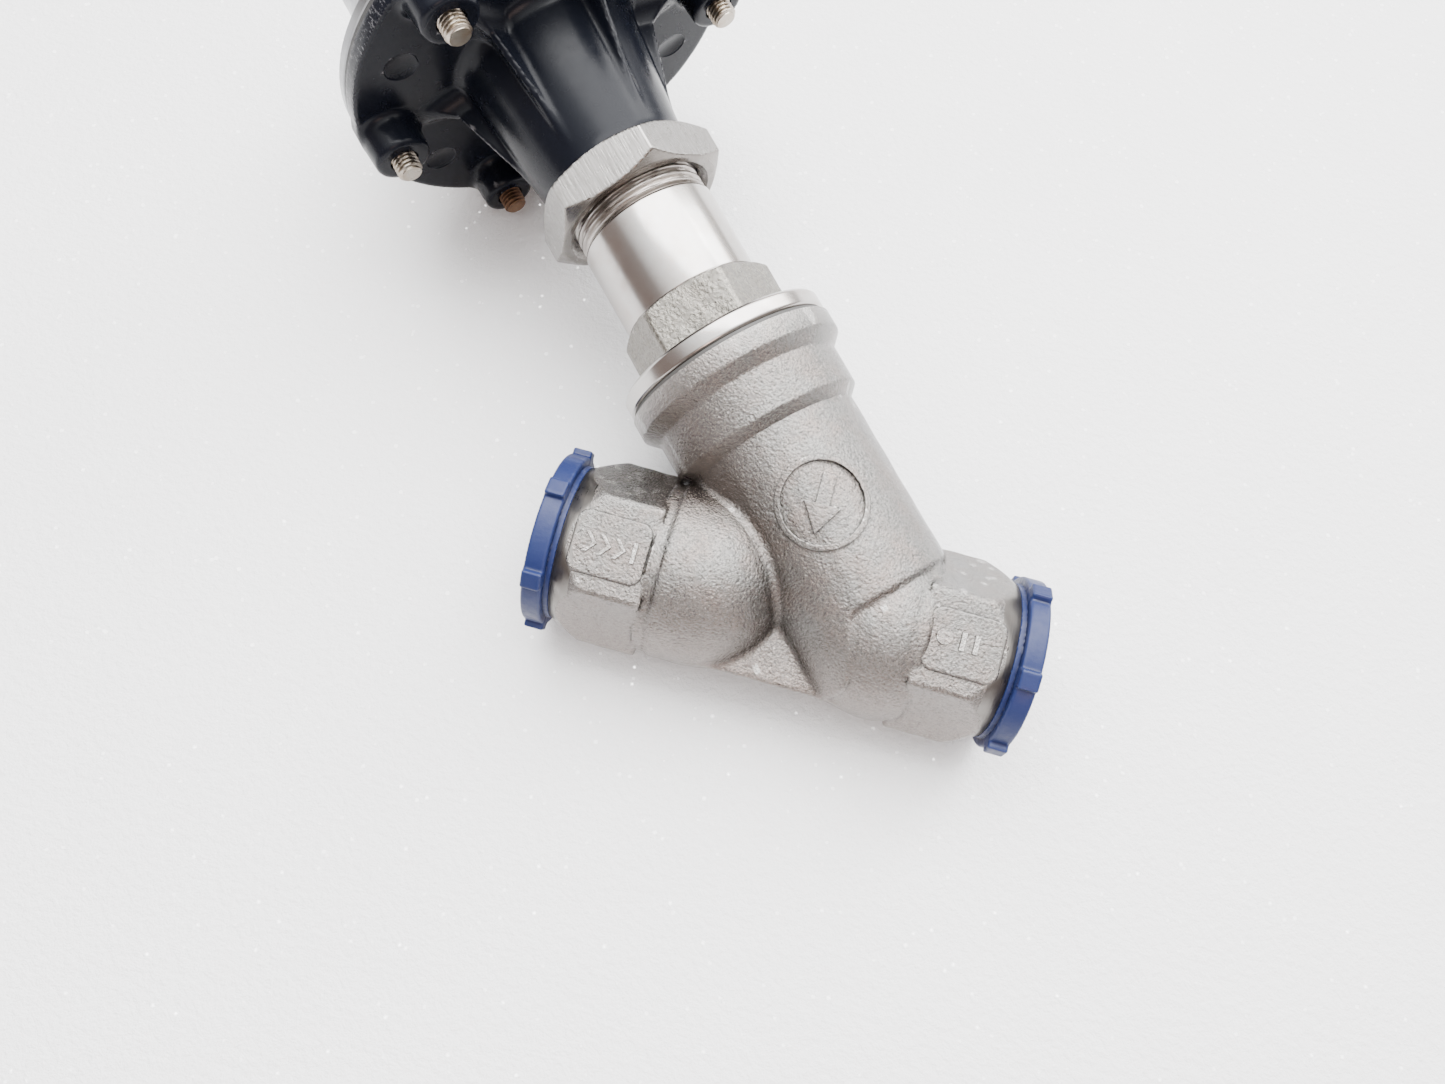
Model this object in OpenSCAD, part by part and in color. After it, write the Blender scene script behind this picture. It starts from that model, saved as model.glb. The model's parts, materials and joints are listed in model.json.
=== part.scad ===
// Angle-seat valve with a pneumatic diaphragm actuator, lying on its side.
// +X runs along the pipe towards the inlet and +Z is up from the surface that the valve lies on.
// The origin is on the pipe axis, where the inlet thread starts.
// "Station" is the distance along the stem axis from the point where it crosses the pipe axis.

/* [Pipe run] */
// Angle between the branch and the outlet end of the run
branch_angle = 45; // [42:1:52]
// Distance from the stem axis to the inlet end
inlet_len = 21.2; // [20.5:0.1:30]
// Distance from the stem axis to the outlet end
outlet_len = 58.8; // [56:0.1:75]
// Width across the flats of each hexagonal end
hex_af = 30; // [29:0.5:38]
// Length of each hexagonal end
hex_len = 16.5; // [14:0.5:18]
// Outer radius of each end face, where the turned cone starts
end_r = 14.35; // [14.2:0.05:15]
// Radius of the wall of each pipe thread
port_r = 12.06; // [11:0.01:12.4]
// Depth of each pipe thread from the end face
port_depth = 15; // [12:0.5:15.5]
// Radius of the plain mouth ahead of each thread
mouth_r = 13.4; // [13:0.05:13.8]
// Depth of the plain mouth
mouth_depth = 2.5; // [2:0.25:3.5]
// Radius of the flow passage
bore_r = 9.5; // [7.5:0.25:10.5]
// Wall of the cast passages
cast_wall = 6.9; // [5:0.1:8]

/* [Branch] */
// Outer radius of the branch tube
branch_r = 16.8; // [16:0.1:18]
// Station of the step below the wide band
band_s = 41.7; // [38:0.1:46]
// Height of the wide band
band_h = 8.9; // [6:0.1:12]
// Outer radius of the wide band
band_r = 18.7; // [18.2:0.1:20]
// Outer radius of the collar
collar_r = 21; // [20:0.1:24]
// Height of the collar
collar_h = 4.9; // [3:0.1:7]
// Radius of the chamber above the seat
chamber_r = 12.8; // [11.5:0.1:13]

/* [Seat and stem] */
// Station of the top of the seat wall
seat_s = 4; // [3:0.25:5]
// Radius of the hole in the seat
seat_r = 8.5; // [7:0.25:9]
// Height of the raised seat lip
lip_h = 1.2; // [0.8:0.1:1.6]
// Radius of the stem
stem_r = 5; // [4:0.1:5.5]
// Travel of the stem from shut to open
travel = 8; // [5:0.5:9]

/* [Bonnet] */
// Thickness of the bonnet gasket
gasket_h = 0.8; // [0.5:0.1:1.5]
// Radius of the bonnet's sealing ring
ring_r = 20.7; // [19.5:0.1:23]
// Thickness of the sealing ring
ring_h = 3.9; // [3:0.1:6]
// Radius of the bonnet's thread in the body
bonnet_thread_r = 14.4; // [13.5:0.1:15]
// Width across the flats of the bonnet's hexagon
bonnet_af = 27.5; // [27:0.5:30]
// Height of the bonnet's hexagon
bonnet_hex_h = 10.3; // [8:0.1:14]
// Radius of the bright tube
tube_r = 13.6; // [13.4:0.05:14]
// Length of the bright tube
tube_h = 17.6; // [14:0.1:24]
// Radius of the lock nut's thread
lock_thread_r = 13.2; // [12:0.05:13.4]
// Length of the lock nut's thread
lock_thread_h = 10.3; // [9:0.1:14]
// Width across the flats of the lock nut
nut_af = 33; // [31:0.5:40]
// Thickness of the lock nut
nut_h = 8; // [6:0.1:9]
// Radius of the spigot that carries the actuator
spigot_r = 10.5; // [10:0.1:11]

/* [Actuator] */
// Outer radius of the neck
neck_r = 14.9; // [14:0.1:15.5]
// Height from the bottom of the neck to the flange
cone_h = 30.2; // [29:0.1:38]
// Outer radius of the cone at the flange
cone_r = 18; // [17.5:0.1:22]
// Thickness of the housing flange
flange_h = 3.3; // [3:0.1:6]
// Radius of the flanges
flange_r = 39.9; // [39.5:0.1:50]
// Number of flange screws
screw_count = 6; // [4:1:6]
// Radius of the circle of flange screws
screw_circle_r = 34.6; // [34.2:0.1:35]
// Radius of each screw boss
boss_r = 5.8; // [5:0.1:6.5]
// Height of each screw boss
boss_h = 6.6; // [4:0.1:9]
// Length of thread that stands out of each boss
screw_out = 3.1; // [1:0.1:5]
// Thickness of the diaphragm
diaphragm_h = 0.8; // [0.6:0.1:1.5]
// Thickness of the cover's flange
cover_flange_h = 2.4; // [2:0.1:4]
// Outer radius of the cover's dome
dome_r = 30; // [29.5:0.1:30.2]
// Height of the dome above its flange
dome_h = 33; // [32:0.5:45]
// Wall of the dome
dome_wall = 2; // [1.5:0.1:2.5]
// Radius of the pilot port's thread wall
pilot_r = 4.3; // [4:0.05:4.6]
// Depth of the pilot port's thread
pilot_depth = 8; // [6:0.5:8.5]

/* [Port caps] */
// Radius of each cap's rim
cap_r = 16; // [15.5:0.1:17]
// Thickness of each cap's rim
cap_h = 3.7; // [3:0.1:6]
// Height of the grip ribs above the rim
cap_rib_h = 1.2; // [0.8:0.1:1.4]

/* [Hidden] */
$fn = 96;
eps = 0.05;             // play of a fixed fit, and overshoot of a cut
slide_gap = 0.05;       // radial play of a sliding fit
turn_gap = 0.05;        // radial play of the swivel
cut = 1;                // how far a cut runs past a face

// Stations along the stem axis
collar_top_s = band_s + band_h + collar_h;
ring_s = collar_top_s + gasket_h;
hex_s = ring_s + ring_h;
tube_s = hex_s + bonnet_hex_h;
lock_thread_s = tube_s + tube_h;
neck_s = lock_thread_s + lock_thread_h;
nut_top_s = neck_s + 0.9;
flange_s = neck_s + cone_h;
joint_s = flange_s + flange_h;
cover_s = joint_s + diaphragm_h;
dome_s = cover_s + cover_flange_h;
dome_top_s = dome_s + dome_h;
boss_s = flange_s - boss_h;

// The seat and the disc that shuts it
lip_top_s = seat_s + lip_h;
lip_r = seat_r + 1.6;
barrel_r = bore_r + cast_wall;
// centre of the outlet barrel's rounded end, just clear of the elbow
dome_x = branch_r + barrel_r + 0.8;
seat_wall = 3.5;
disc_h = 3;
disc_r = lip_r + 0.7;
holder_r = disc_r + 0.8;
disc_proud = 0.8;
holder_s = lip_top_s + disc_proud;
holder_web = 1.6;
holder_h = disc_h - disc_proud + holder_web;
hub_h = 3.5;
hub_r = stem_r + 2;
stud_r = 3;
stem_s = holder_s + holder_h + hub_h;
washer_h = 1.4;
washer_r = seat_r - 1.6;
disc_nut_h = 5;
disc_nut_af = 10;

// Inside the bonnet
bonnet_bottom_s = band_s + 1.3;
packing_r = stem_r + 3;
guide_r = stem_r + 2;
guide_h = 8;
packing_s = bonnet_bottom_s + guide_h;
base_washer_h = 1;
packing_spring_h = 12;
top_washer_h = 1.2;
packing_wire_r = 0.85;
packing_turns = 5;
packing_ring_h = 2;
packing_ring_count = 5;
gland_h = 8.5;
packing_spring_s = packing_s + base_washer_h;
top_washer_s = packing_spring_s + packing_spring_h;
rings_s = top_washer_s + top_washer_h;
gland_s = rings_s + packing_ring_count * packing_ring_h;
wiper_h = 4;

// Swivel joint between the spigot and the neck
swivel_h = 9.5;
clip_h = 1.5;
clip_groove = 0.8;
clip_r = spigot_r + 1.8;
clip_s = neck_s + swivel_h + 0.1;
spigot_top_s = clip_s + clip_h + 2.4;
clip_room_r = clip_r + 0.6;
carrier_s = spigot_top_s + 1;
carrier_h = 5;
carrier_r = clip_room_r + 1;
carrier_top_s = carrier_s + carrier_h;
stem_ring_r = 1.1;      // section radius of the ring that seals the stem
carrier_ring_r = 0.9;   // section radius of the ring that seals the carrier

// Diaphragm chamber
chamber_dish_r = dome_r - dome_wall;
dish_floor_s = joint_s - 2.1;
plate_r = chamber_dish_r - 8.5;
plate_h = 1.8;
plate_s = joint_s + 0.2 - plate_h;
stud_top_r = stem_r - 1;
upper_plate_s = plate_s + plate_h + diaphragm_h;
upper_plate_h = 2;
upper_hub_r = stud_top_r + 4;
upper_hub_h = 1.5;
plate_nut_s = upper_plate_s + upper_plate_h + upper_hub_h;
plate_nut_h = 5.5;
plate_nut_af = 13;
stem_top_s = plate_nut_s + plate_nut_h + 1;
spring_wire_r = 1.6;
spring_coil_r = (chamber_dish_r + upper_hub_r) / 2 - 3;
spring_turns = 5;
spring_s = upper_plate_s + upper_plate_h;
dome_inner_s = dome_top_s - dome_wall;

// Travel indicator
rod_r = 2.5;
rod_top_s = dome_top_s + 3;
window_r = 7.5;
window_wall = 1.4;
window_flange_r = 10;
window_flange_h = 2.5;
window_h = 3 + travel + 5;
window_seal_r = 0.8;

// Flange screws
screw_r = 2.5;
screw_head_r = 4.2;
screw_head_h = 4;
screw_phase = 4;
rib_t = 2.6;
mark_r = 3.4;
mark_depth = 0.3;
nut_phase = 46;
bonnet_hex_phase = 50;

// Pilot port and vent
pilot_angle = 94;
pilot_boss_r = 7.4;
pilot_out = neck_r + 10.6;
pilot_s = carrier_top_s + 3.2;
pilot_hole_r = 2;
vent_angle = 34;
vent_r = 4;
vent_circle_r = 19;

// Hexagonal ends and the pose in which the valve lies: its lowest points are a corner of each
// hexagon and the rim of the housing flange
hex_r = hex_af / 2 / cos(30);
function lift_for(drop) = acos(drop / norm([flange_s, flange_r])) - atan2(flange_s, flange_r);
function tilt_for(drop) = asin(sin(lift_for(drop)) / sin(branch_angle));
function settle(t, steps) = steps == 0 ? t : settle(tilt_for(hex_r * cos(30 - t)), steps - 1);
tilt = settle(14, 6);
origin_x = inlet_len - mouth_depth;

// ---------------------------------------------------------------- placing

module lay() rotate([tilt - 90, 0, 0]) translate([-origin_x, 0, 0]) children();

// Local +Z runs along the stem axis from station s
module on_stem(s = 0) lay() rotate([0, branch_angle - 90, 0]) translate([0, 0, s]) children();

// Local +Z runs along +X from the stem axis
module on_run(x = 0) lay() translate([x, 0, 0]) rotate([0, 90, 0]) children();

// Local +Z points out of the inlet end or the outlet end, from that end's face
module at_inlet() on_run(inlet_len) children();
module at_outlet() on_run(-outlet_len) mirror([0, 0, 1]) children();

module screw_places(phase = screw_phase)
    for (i = [0 : screw_count - 1])
        rotate(phase + i * 360 / screw_count) translate([screw_circle_r, 0, 0]) children();

// ---------------------------------------------------------------- shapes

module tube(outer, inner, h)
    difference() {
        cylinder(r = outer, h = h);
        translate([0, 0, -cut]) cylinder(r = inner, h = h + 2 * cut);
    }

module hex_prism(af, h, phase = 0)
    rotate(phase) cylinder(r = af / 2 / cos(30), h = h, $fn = 6);

// Hexagon whose corners are turned off to face_r at the faces
module chamfered_hex(af, h, face_r, phase = 0, low = true, high = true)
    intersection() {
        hex_prism(af, h, phase);
        rise = (af / 2 / cos(30) + 0.1 - face_r) * tan(30);
        rotate_extrude() polygon([
            [0, 0], [low ? face_r : af, 0], [low ? af / 2 / cos(30) + 0.1 : af, low ? rise : 0],
            [high ? af / 2 / cos(30) + 0.1 : af, high ? h - rise : h], [high ? face_r : af, h], [0, h]]);
    }

// Coil spring of round wire between two flat faces
module coil(coil_r, wire_r, h, turns, steps = 20) {
    sides = 8;
    n = turns * steps;
    end_gap = 0.06;
    pitch_h = h - 2 * wire_r - 2 * end_gap;
    ring = [for (i = [0 : n], j = [0 : sides - 1])
        let (a = 360 * i / steps, b = 360 * j / sides, r = coil_r + wire_r * cos(b))
        [r * cos(a), r * sin(a), wire_r + end_gap + pitch_h * i / n + wire_r * sin(b)]];
    walls = [for (i = [0 : n - 1], j = [0 : sides - 1])
        let (k = (j + 1) % sides, p = i * sides, q = p + sides)
        [p + j, p + k, q + k, q + j]];
    polyhedron(points = ring, convexity = turns + 1,
        faces = concat([[for (j = [0 : sides - 1]) sides - 1 - j]],
            walls, [[for (j = [0 : sides - 1]) n * sides + j]]));
}

function arc(cx, cy, r, from, to, steps) =
    [for (i = [0 : steps]) let (a = from + (to - from) * i / steps) [cx + r * cos(a), cy + r * sin(a)]];

// ---------------------------------------------------------------- valve

// Cast hexagon that the turning of the end face leaves conical at its outer end
module hex_end(x, towards)
    on_run(x) mirror([0, 0, towards > 0 ? 0 : 1]) intersection() {
        translate([0, 0, -hex_len]) hex_prism(hex_af, hex_len);
        rotate_extrude() polygon([[0, -hex_len], [hex_r + 0.1, -hex_len],
            [hex_r + 0.1, -min(2 * (hex_r + 0.1 - end_r), hex_len - 1)], [end_r, 0], [0, 0]]);
    }

module label_pad(x) {
    pad_l = 13.4;
    pad_w = 11;
    corner = 1.6;
    lay() translate([x, -hex_af / 2 - 0.4, 0]) rotate([-90, 0, 0])
        linear_extrude(1.4) polygon([
            [-pad_l / 2 + corner, -pad_w / 2], [pad_l / 2 - corner, -pad_w / 2],
            [pad_l / 2, -pad_w / 2 + corner], [pad_l / 2, pad_w / 2 - corner],
            [pad_l / 2 - corner, pad_w / 2], [-pad_l / 2 + corner, pad_w / 2],
            [-pad_l / 2, pad_w / 2 - corner], [-pad_l / 2, -pad_w / 2 + corner]]);
}

// Raised ring and flow arrow that follow the curve of the branch
module flow_medallion() {
    medal_s = 23.9;
    medal_r = 8.3;
    on_stem(medal_s) intersection() {
        tube_len = 2 * medal_r + 2;
        translate([0, 0, -tube_len / 2]) tube(branch_r + 0.5, branch_r - 1, tube_len);
        rotate([90, 0, 0]) {
            tube(medal_r, medal_r - 0.9, branch_r + 2);
            linear_extrude(branch_r + 2) rotate(branch_angle - 90)
                polygon([[-5.4, 0], [-1.2, 4.2], [-1.2, 1.6], [5.2, 1.6], [5.2, -1.6], [-1.2, -1.6],
                    [-1.2, -4.2]]);
        }
    }
}

module body_outside() {
    groove_r = barrel_r - 1;
    groove_w = 1.4;
    neck_in = inlet_len - hex_len - groove_w;
    barrel_out = outlet_len - hex_len - groove_w;
    web_t = 9;
    web_z = barrel_r - 1;
    collar_low_s = collar_top_s - collar_h + 1.2;
    hex_end(inlet_len, 1);
    hex_end(-outlet_len, -1);
    label_pad(inlet_len - hex_len / 2 - 0.6);
    label_pad(-outlet_len + hex_len / 2 + 0.6);
    // inlet elbow
    on_run(0) cylinder(r = barrel_r, h = neck_in + eps);
    on_run(neck_in) cylinder(r = groove_r, h = groove_w + eps);
    on_run(0) sphere(r = branch_r + 0.35);
    // outlet barrel and its rounded end
    on_run(-barrel_out) cylinder(r = barrel_r, h = barrel_out - dome_x);
    on_run(-barrel_out - groove_w - eps) cylinder(r = groove_r, h = groove_w + 2 * eps);
    on_run(-dome_x) sphere(r = barrel_r + 0.15);
    // web between the barrel and the elbow
    lay() translate([-dome_x, -web_t / 2, -web_z]) cube([dome_x, web_t, web_z]);
    // branch, band and collar
    on_stem() rotate_extrude() polygon([
        [0, 0], [branch_r, 0], [branch_r, band_s - band_r + branch_r], [band_r, band_s],
        [band_r, collar_low_s - collar_r + band_r], [collar_r, collar_low_s],
        [collar_r, collar_top_s - 0.5], [collar_r - 0.5, collar_top_s], [0, collar_top_s]]);
    flow_medallion();
}

// Inlet bore up to the wall that holds the seat, and outlet bore that turns into the chamber
module run_bore() {
    difference() {
        on_run(-2 * bore_r) cylinder(r = bore_r, h = 2 * bore_r + inlet_len - 1);
        on_stem(seat_s - seat_wall) cylinder(r = 4 * bore_r, h = 4 * bore_r);
    }
    on_run(-outlet_len + 1) cylinder(r = bore_r, h = outlet_len - 1 - dome_x);
    on_run(-dome_x) sphere(r = bore_r + 0.4);
    // passage square to the stem, from the rounded end into the chamber
    on_stem(dome_x * cos(branch_angle)) rotate([0, -90, 0])
        cylinder(r = bore_r - 0.3, h = dome_x * sin(branch_angle));
}

module body_inside() {
    run_bore();
    on_stem(seat_s - seat_wall - cut) cylinder(r = seat_r, h = seat_wall + 2 * cut);
    on_stem(seat_s) difference() {
        cylinder(r = chamber_r, h = bonnet_bottom_s);
        tube(lip_r, seat_r, lip_h);
    }
    on_stem(bonnet_bottom_s - 1) cylinder(r = bonnet_thread_r, h = collar_top_s);
    at_inlet() port_cut();
    at_outlet() port_cut();
}

module port_cut() {
    translate([0, 0, -port_depth]) cylinder(r = port_r, h = port_depth);
    translate([0, 0, -mouth_depth]) cylinder(r = mouth_r, h = mouth_depth + cut);
}

module valve_body() color("#b9b2a8") difference() { body_outside(); body_inside(); }

module bonnet_gasket() color("#3a3836")
    on_stem(collar_top_s) tube(ring_r - 0.4, bonnet_thread_r + 0.1, gasket_h);

module bonnet() color("#c9c5bd") difference() {
    union() {
        on_stem() rotate_extrude() polygon([
            [0, bonnet_bottom_s], [bonnet_thread_r - 0.8, bonnet_bottom_s],
            [bonnet_thread_r, bonnet_bottom_s + 0.8], [bonnet_thread_r, ring_s],
            [ring_r - 0.4, ring_s], [ring_r, ring_s + 0.4], [ring_r, hex_s - 1.2],
            [ring_r - 0.8, hex_s - 0.4], [bonnet_af / 2, hex_s + 0.6], [0, hex_s + 0.6]]);
        on_stem(hex_s) chamfered_hex(bonnet_af, bonnet_hex_h, bonnet_af / 2, bonnet_hex_phase, low = false);
        on_stem() rotate_extrude() polygon([
            [0, tube_s - 1], [tube_r, tube_s - 1], [tube_r, lock_thread_s - 0.4],
            [tube_r - 0.4, lock_thread_s], [lock_thread_r, lock_thread_s], [lock_thread_r, neck_s],
            [spigot_r, neck_s], [spigot_r, clip_s], [spigot_r - clip_groove, clip_s],
            [spigot_r - clip_groove, clip_s + clip_h], [spigot_r, clip_s + clip_h],
            [spigot_r, spigot_top_s - 0.5], [spigot_r - 0.5, spigot_top_s], [0, spigot_top_s]]);
    }
    on_stem(bonnet_bottom_s - cut) cylinder(r = guide_r, h = guide_h + 2 * cut);
    on_stem(packing_s) cylinder(r = packing_r, h = spigot_top_s - packing_s + cut);
}

module stem_guide_bush() color("#d8d2c0")
    on_stem(bonnet_bottom_s) tube(guide_r, stem_r + slide_gap, guide_h);

module packing_base_washer() color("silver")
    on_stem(packing_s) tube(packing_r, stem_r + 3 * slide_gap, base_washer_h);

module packing_spring() color("silver")
    on_stem(packing_spring_s) coil((stem_r + packing_r) / 2 + 0.05, packing_wire_r, packing_spring_h, packing_turns);

module packing_top_washer() color("silver")
    on_stem(top_washer_s) tube(packing_r, stem_r + 3 * slide_gap, top_washer_h);

// Chevron rings: each one's hollow takes the ridge of the next
module packing_rings() color("#efeee8") {
    mid_r = stem_r + (packing_r - stem_r) / 2;
    vee = 0.7;
    for (i = [0 : packing_ring_count - 1])
        on_stem(rings_s + i * packing_ring_h) rotate_extrude() polygon([
            [stem_r + slide_gap, 0], [mid_r, i == 0 ? 0 : vee + 0.02], [packing_r, 0],
            [packing_r, packing_ring_h - 0.02],
            [mid_r, packing_ring_h - 0.02 + (i == packing_ring_count - 1 ? 0 : vee)],
            [stem_r + slide_gap, packing_ring_h - 0.02]]);
}

module gland_nut() color("#b08d4a")
    on_stem(gland_s) difference() {
        tube(packing_r, stem_r + 2 * slide_gap, gland_h);
        // slot for the tool that turns it
        slot_w = 2.4;
        slot_depth = 2;
        translate([-packing_r - cut, -slot_w / 2, gland_h - slot_depth])
            cube([2 * packing_r + 2 * cut, slot_w, slot_depth + cut]);
    }

module stem_wiper() color("#222")
    on_stem(spigot_top_s - wiper_h) tube(packing_r, stem_r + slide_gap, wiper_h);

module lock_nut() color("#c4c0b6") on_stem(nut_top_s - nut_h) difference() {
    chamfered_hex(nut_af, nut_h, nut_af / 2, nut_phase);
    translate([0, 0, -cut]) cylinder(r = lock_thread_r + eps, h = nut_h + 2 * cut);
    translate([0, 0, nut_h - 1]) cylinder(r = neck_r + 0.35, h = 1 + cut);
    // countersink under the nut, around the thread
    translate([0, 0, -eps]) cylinder(r1 = lock_thread_r + 0.9, r2 = lock_thread_r, h = 0.9);
}

module swivel_clip() color("#8a8a88")
    on_stem(clip_s) difference() {
        tube(clip_r, spigot_r - clip_groove, clip_h - eps);
        // gap between the clip's ends
        end_gap = 4;
        translate([0, -end_gap / 2, -cut]) cube([clip_r + cut, end_gap, clip_h + 2 * cut]);
    }

// ---------------------------------------------------------------- actuator

module housing_rib() {
    foot_r = 26.5;
    rotate([90, 0, 0]) translate([0, 0, -rib_t / 2]) linear_extrude(rib_t) polygon([
        [neck_r - 1.5, neck_s + 4], [neck_r + 0.6, neck_s + 7.5], [cone_r + 3.4, flange_s - 3.5],
        [foot_r, flange_s - 0.6], [foot_r, flange_s + 1], [neck_r - 1.5, flange_s + 1]]);
}

module housing_outside() {
    on_stem() rotate_extrude() polygon([
        [0, neck_s + eps], [neck_r - 0.3, neck_s + eps], [neck_r, neck_s + eps + 0.3],
        [neck_r, neck_s + 2.6], [cone_r, flange_s - 1.2], [cone_r + 1.2, flange_s],
        [flange_r - 0.6, flange_s], [flange_r, flange_s + 0.6], [flange_r, joint_s], [0, joint_s]]);
    on_stem() screw_places() {
        translate([0, 0, boss_s + 1]) cylinder(r = boss_r, h = joint_s - boss_s - 1);
        translate([0, 0, boss_s]) cylinder(r1 = boss_r - 0.8, r2 = boss_r, h = 1);
        translate([0, 0, flange_s + 0.5]) cylinder(r = boss_r + 0.8, h = flange_h - 0.5);
    }
    for (i = [0 : screw_count - 1])
        on_stem() rotate(screw_phase + i * 360 / screw_count) housing_rib();
    on_stem(pilot_s) rotate(pilot_angle) rotate([0, 90, 0]) cylinder(r = pilot_boss_r, h = pilot_out);
}

module housing_inside() {
    bore_top_s = clip_s - 0.1;
    on_stem(neck_s - cut) cylinder(r = spigot_r + turn_gap, h = bore_top_s - neck_s + 2 * cut);
    on_stem(bore_top_s) cylinder(r = clip_room_r, h = carrier_s - bore_top_s + cut);
    on_stem(carrier_s) cylinder(r = carrier_r, h = dish_floor_s - carrier_s + cut);
    on_stem(dish_floor_s) cylinder(r = chamber_dish_r, h = joint_s - dish_floor_s + cut);
    on_stem() screw_places()
        translate([0, 0, boss_s - cut]) cylinder(r = screw_r, h = joint_s - boss_s + 2 * cut);
    on_stem() screw_places(screw_phase + 180 / screw_count)
        translate([-3, 0, flange_s - mark_depth]) tube(mark_r, mark_r - 0.4, 2 * mark_depth);
    on_stem(pilot_s) rotate(pilot_angle) rotate([0, 90, 0]) {
        translate([0, 0, pilot_out - pilot_depth]) cylinder(r = pilot_r, h = pilot_depth + cut);
        translate([0, 0, carrier_r - 2]) cylinder(r = pilot_hole_r, h = pilot_out - carrier_r);
    }
}

module actuator_housing() color("#1b1c20") difference() { housing_outside(); housing_inside(); }

module seal_carrier() color("#b08d4a") on_stem(carrier_s) difference() {
    tube(carrier_r, stem_r + slide_gap, carrier_h);
    // grooves for the two seals
    translate([0, 0, 1.2]) cylinder(r = stem_r + 2 * stem_ring_r, h = 2 * stem_ring_r);
    translate([0, 0, 1.4]) tube(carrier_r + cut, carrier_r - 2 * carrier_ring_r, 2 * carrier_ring_r);
}

module o_ring(centre_r, section_r) rotate_extrude() translate([centre_r, 0]) circle(r = section_r, $fn = 32);

module carrier_o_ring() color("#202020")
    on_stem(carrier_s + 1.4 + carrier_ring_r) o_ring(carrier_r - carrier_ring_r - 0.02, carrier_ring_r - 0.02);

module stem_o_ring() color("#202020")
    on_stem(carrier_s + 1.2 + stem_ring_r)
        o_ring(stem_r + slide_gap + stem_ring_r - 0.03, stem_ring_r - 0.04);

// Flat sheet with one rolling fold between the plates and the clamped rim
module diaphragm() color("#191919") {
    fold_r = (chamber_dish_r - plate_r) / 2 - 0.8;
    fold_c = plate_r + 0.6 + fold_r;
    mid_s = plate_s + plate_h;
    on_stem() difference() {
        rotate_extrude() polygon(concat(
            [[stud_top_r, mid_s], [fold_c - fold_r, mid_s]],
            arc(fold_c, mid_s, fold_r - diaphragm_h, 180, 0, 12),
            [[fold_c + fold_r, joint_s], [flange_r - 0.3, joint_s], [flange_r - 0.3, cover_s],
             [fold_c + fold_r + 0.4, cover_s]],
            arc(fold_c, mid_s, fold_r, 14, 166, 12),
            [[fold_c - fold_r - 0.4, mid_s + diaphragm_h], [stud_top_r, mid_s + diaphragm_h]]));
        screw_places() translate([0, 0, joint_s - cut]) cylinder(r = screw_r + eps, h = 4);
    }
}

module top_cover() color("#c8c9ca") difference() {
    round_r = 9;
    on_stem() rotate_extrude() polygon(concat(
        [[0, cover_s], [flange_r - 0.5, cover_s], [flange_r - 0.2, cover_s + 0.3],
         [flange_r - 0.2, dome_s - 0.5], [flange_r - 0.7, dome_s], [dome_r, dome_s]],
        arc(dome_r - round_r, dome_top_s - round_r, round_r, 0, 90, 8),
        [[0, dome_top_s]]));
    on_stem() rotate_extrude() polygon(concat(
        [[0, cover_s - cut], [chamber_dish_r, cover_s - cut]],
        arc(dome_r - round_r, dome_inner_s - round_r + dome_wall, round_r - dome_wall, 0, 90, 8),
        [[0, dome_inner_s]]));
    on_stem(dome_inner_s - cut) cylinder(r = rod_r + 0.5, h = dome_wall + 2 * cut);
    on_stem(cover_s) screw_places() translate([0, 0, -cut]) cylinder(r = screw_r + 0.2, h = 6);
    on_stem(dome_inner_s - cut) rotate(vent_angle) translate([vent_circle_r, 0, 0])
        cylinder(r = vent_r - 1, h = dome_wall + 2 * cut);
}

module flange_screws() color("#b3aca0") {
    socket_af = 4;
    tip_s = boss_s - screw_out;
    on_stem() screw_places() difference() {
        union() {
            translate([0, 0, tip_s + 0.6]) cylinder(r = screw_r, h = dome_s - tip_s - 0.6);
            translate([0, 0, tip_s]) cylinder(r1 = screw_r - 0.6, r2 = screw_r, h = 0.6);
            translate([0, 0, dome_s]) cylinder(r = screw_head_r, h = screw_head_h);
        }
        translate([0, 0, dome_s + screw_head_h - 2.4]) hex_prism(socket_af, 3);
    }
}

module return_spring() color("#8f9296")
    on_stem(spring_s) coil(spring_coil_r, spring_wire_r, dome_inner_s - spring_s, spring_turns, 24);

module vent_plug() color("#b08d4a")
    on_stem() rotate(vent_angle) translate([vent_circle_r, 0, 0]) {
        translate([0, 0, dome_top_s]) chamfered_hex(2 * vent_r, 3, vent_r - 0.2, low = false);
        translate([0, 0, dome_inner_s]) cylinder(r = vent_r - 1, h = dome_wall);
    }

module window_o_ring() color("#202020")
    on_stem(dome_top_s + window_seal_r) o_ring(window_flange_r - 1.8, window_seal_r - 0.01);

module indicator_window() color("#e8eef2", 0.5) on_stem(dome_top_s) difference() {
    union() {
        cylinder(r = window_flange_r, h = window_flange_h);
        cylinder(r = window_r, h = window_h - 2);
        translate([0, 0, window_h - 2]) cylinder(r1 = window_r, r2 = window_r - 2, h = 2);
    }
    translate([0, 0, -cut]) cylinder(r = window_r - window_wall, h = window_h - window_wall - 1 + cut);
    translate([0, 0, -cut]) tube(window_flange_r - 0.9, window_flange_r - 2.7, 2 * window_seal_r + cut);
}

// ---------------------------------------------------------------- stem

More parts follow.
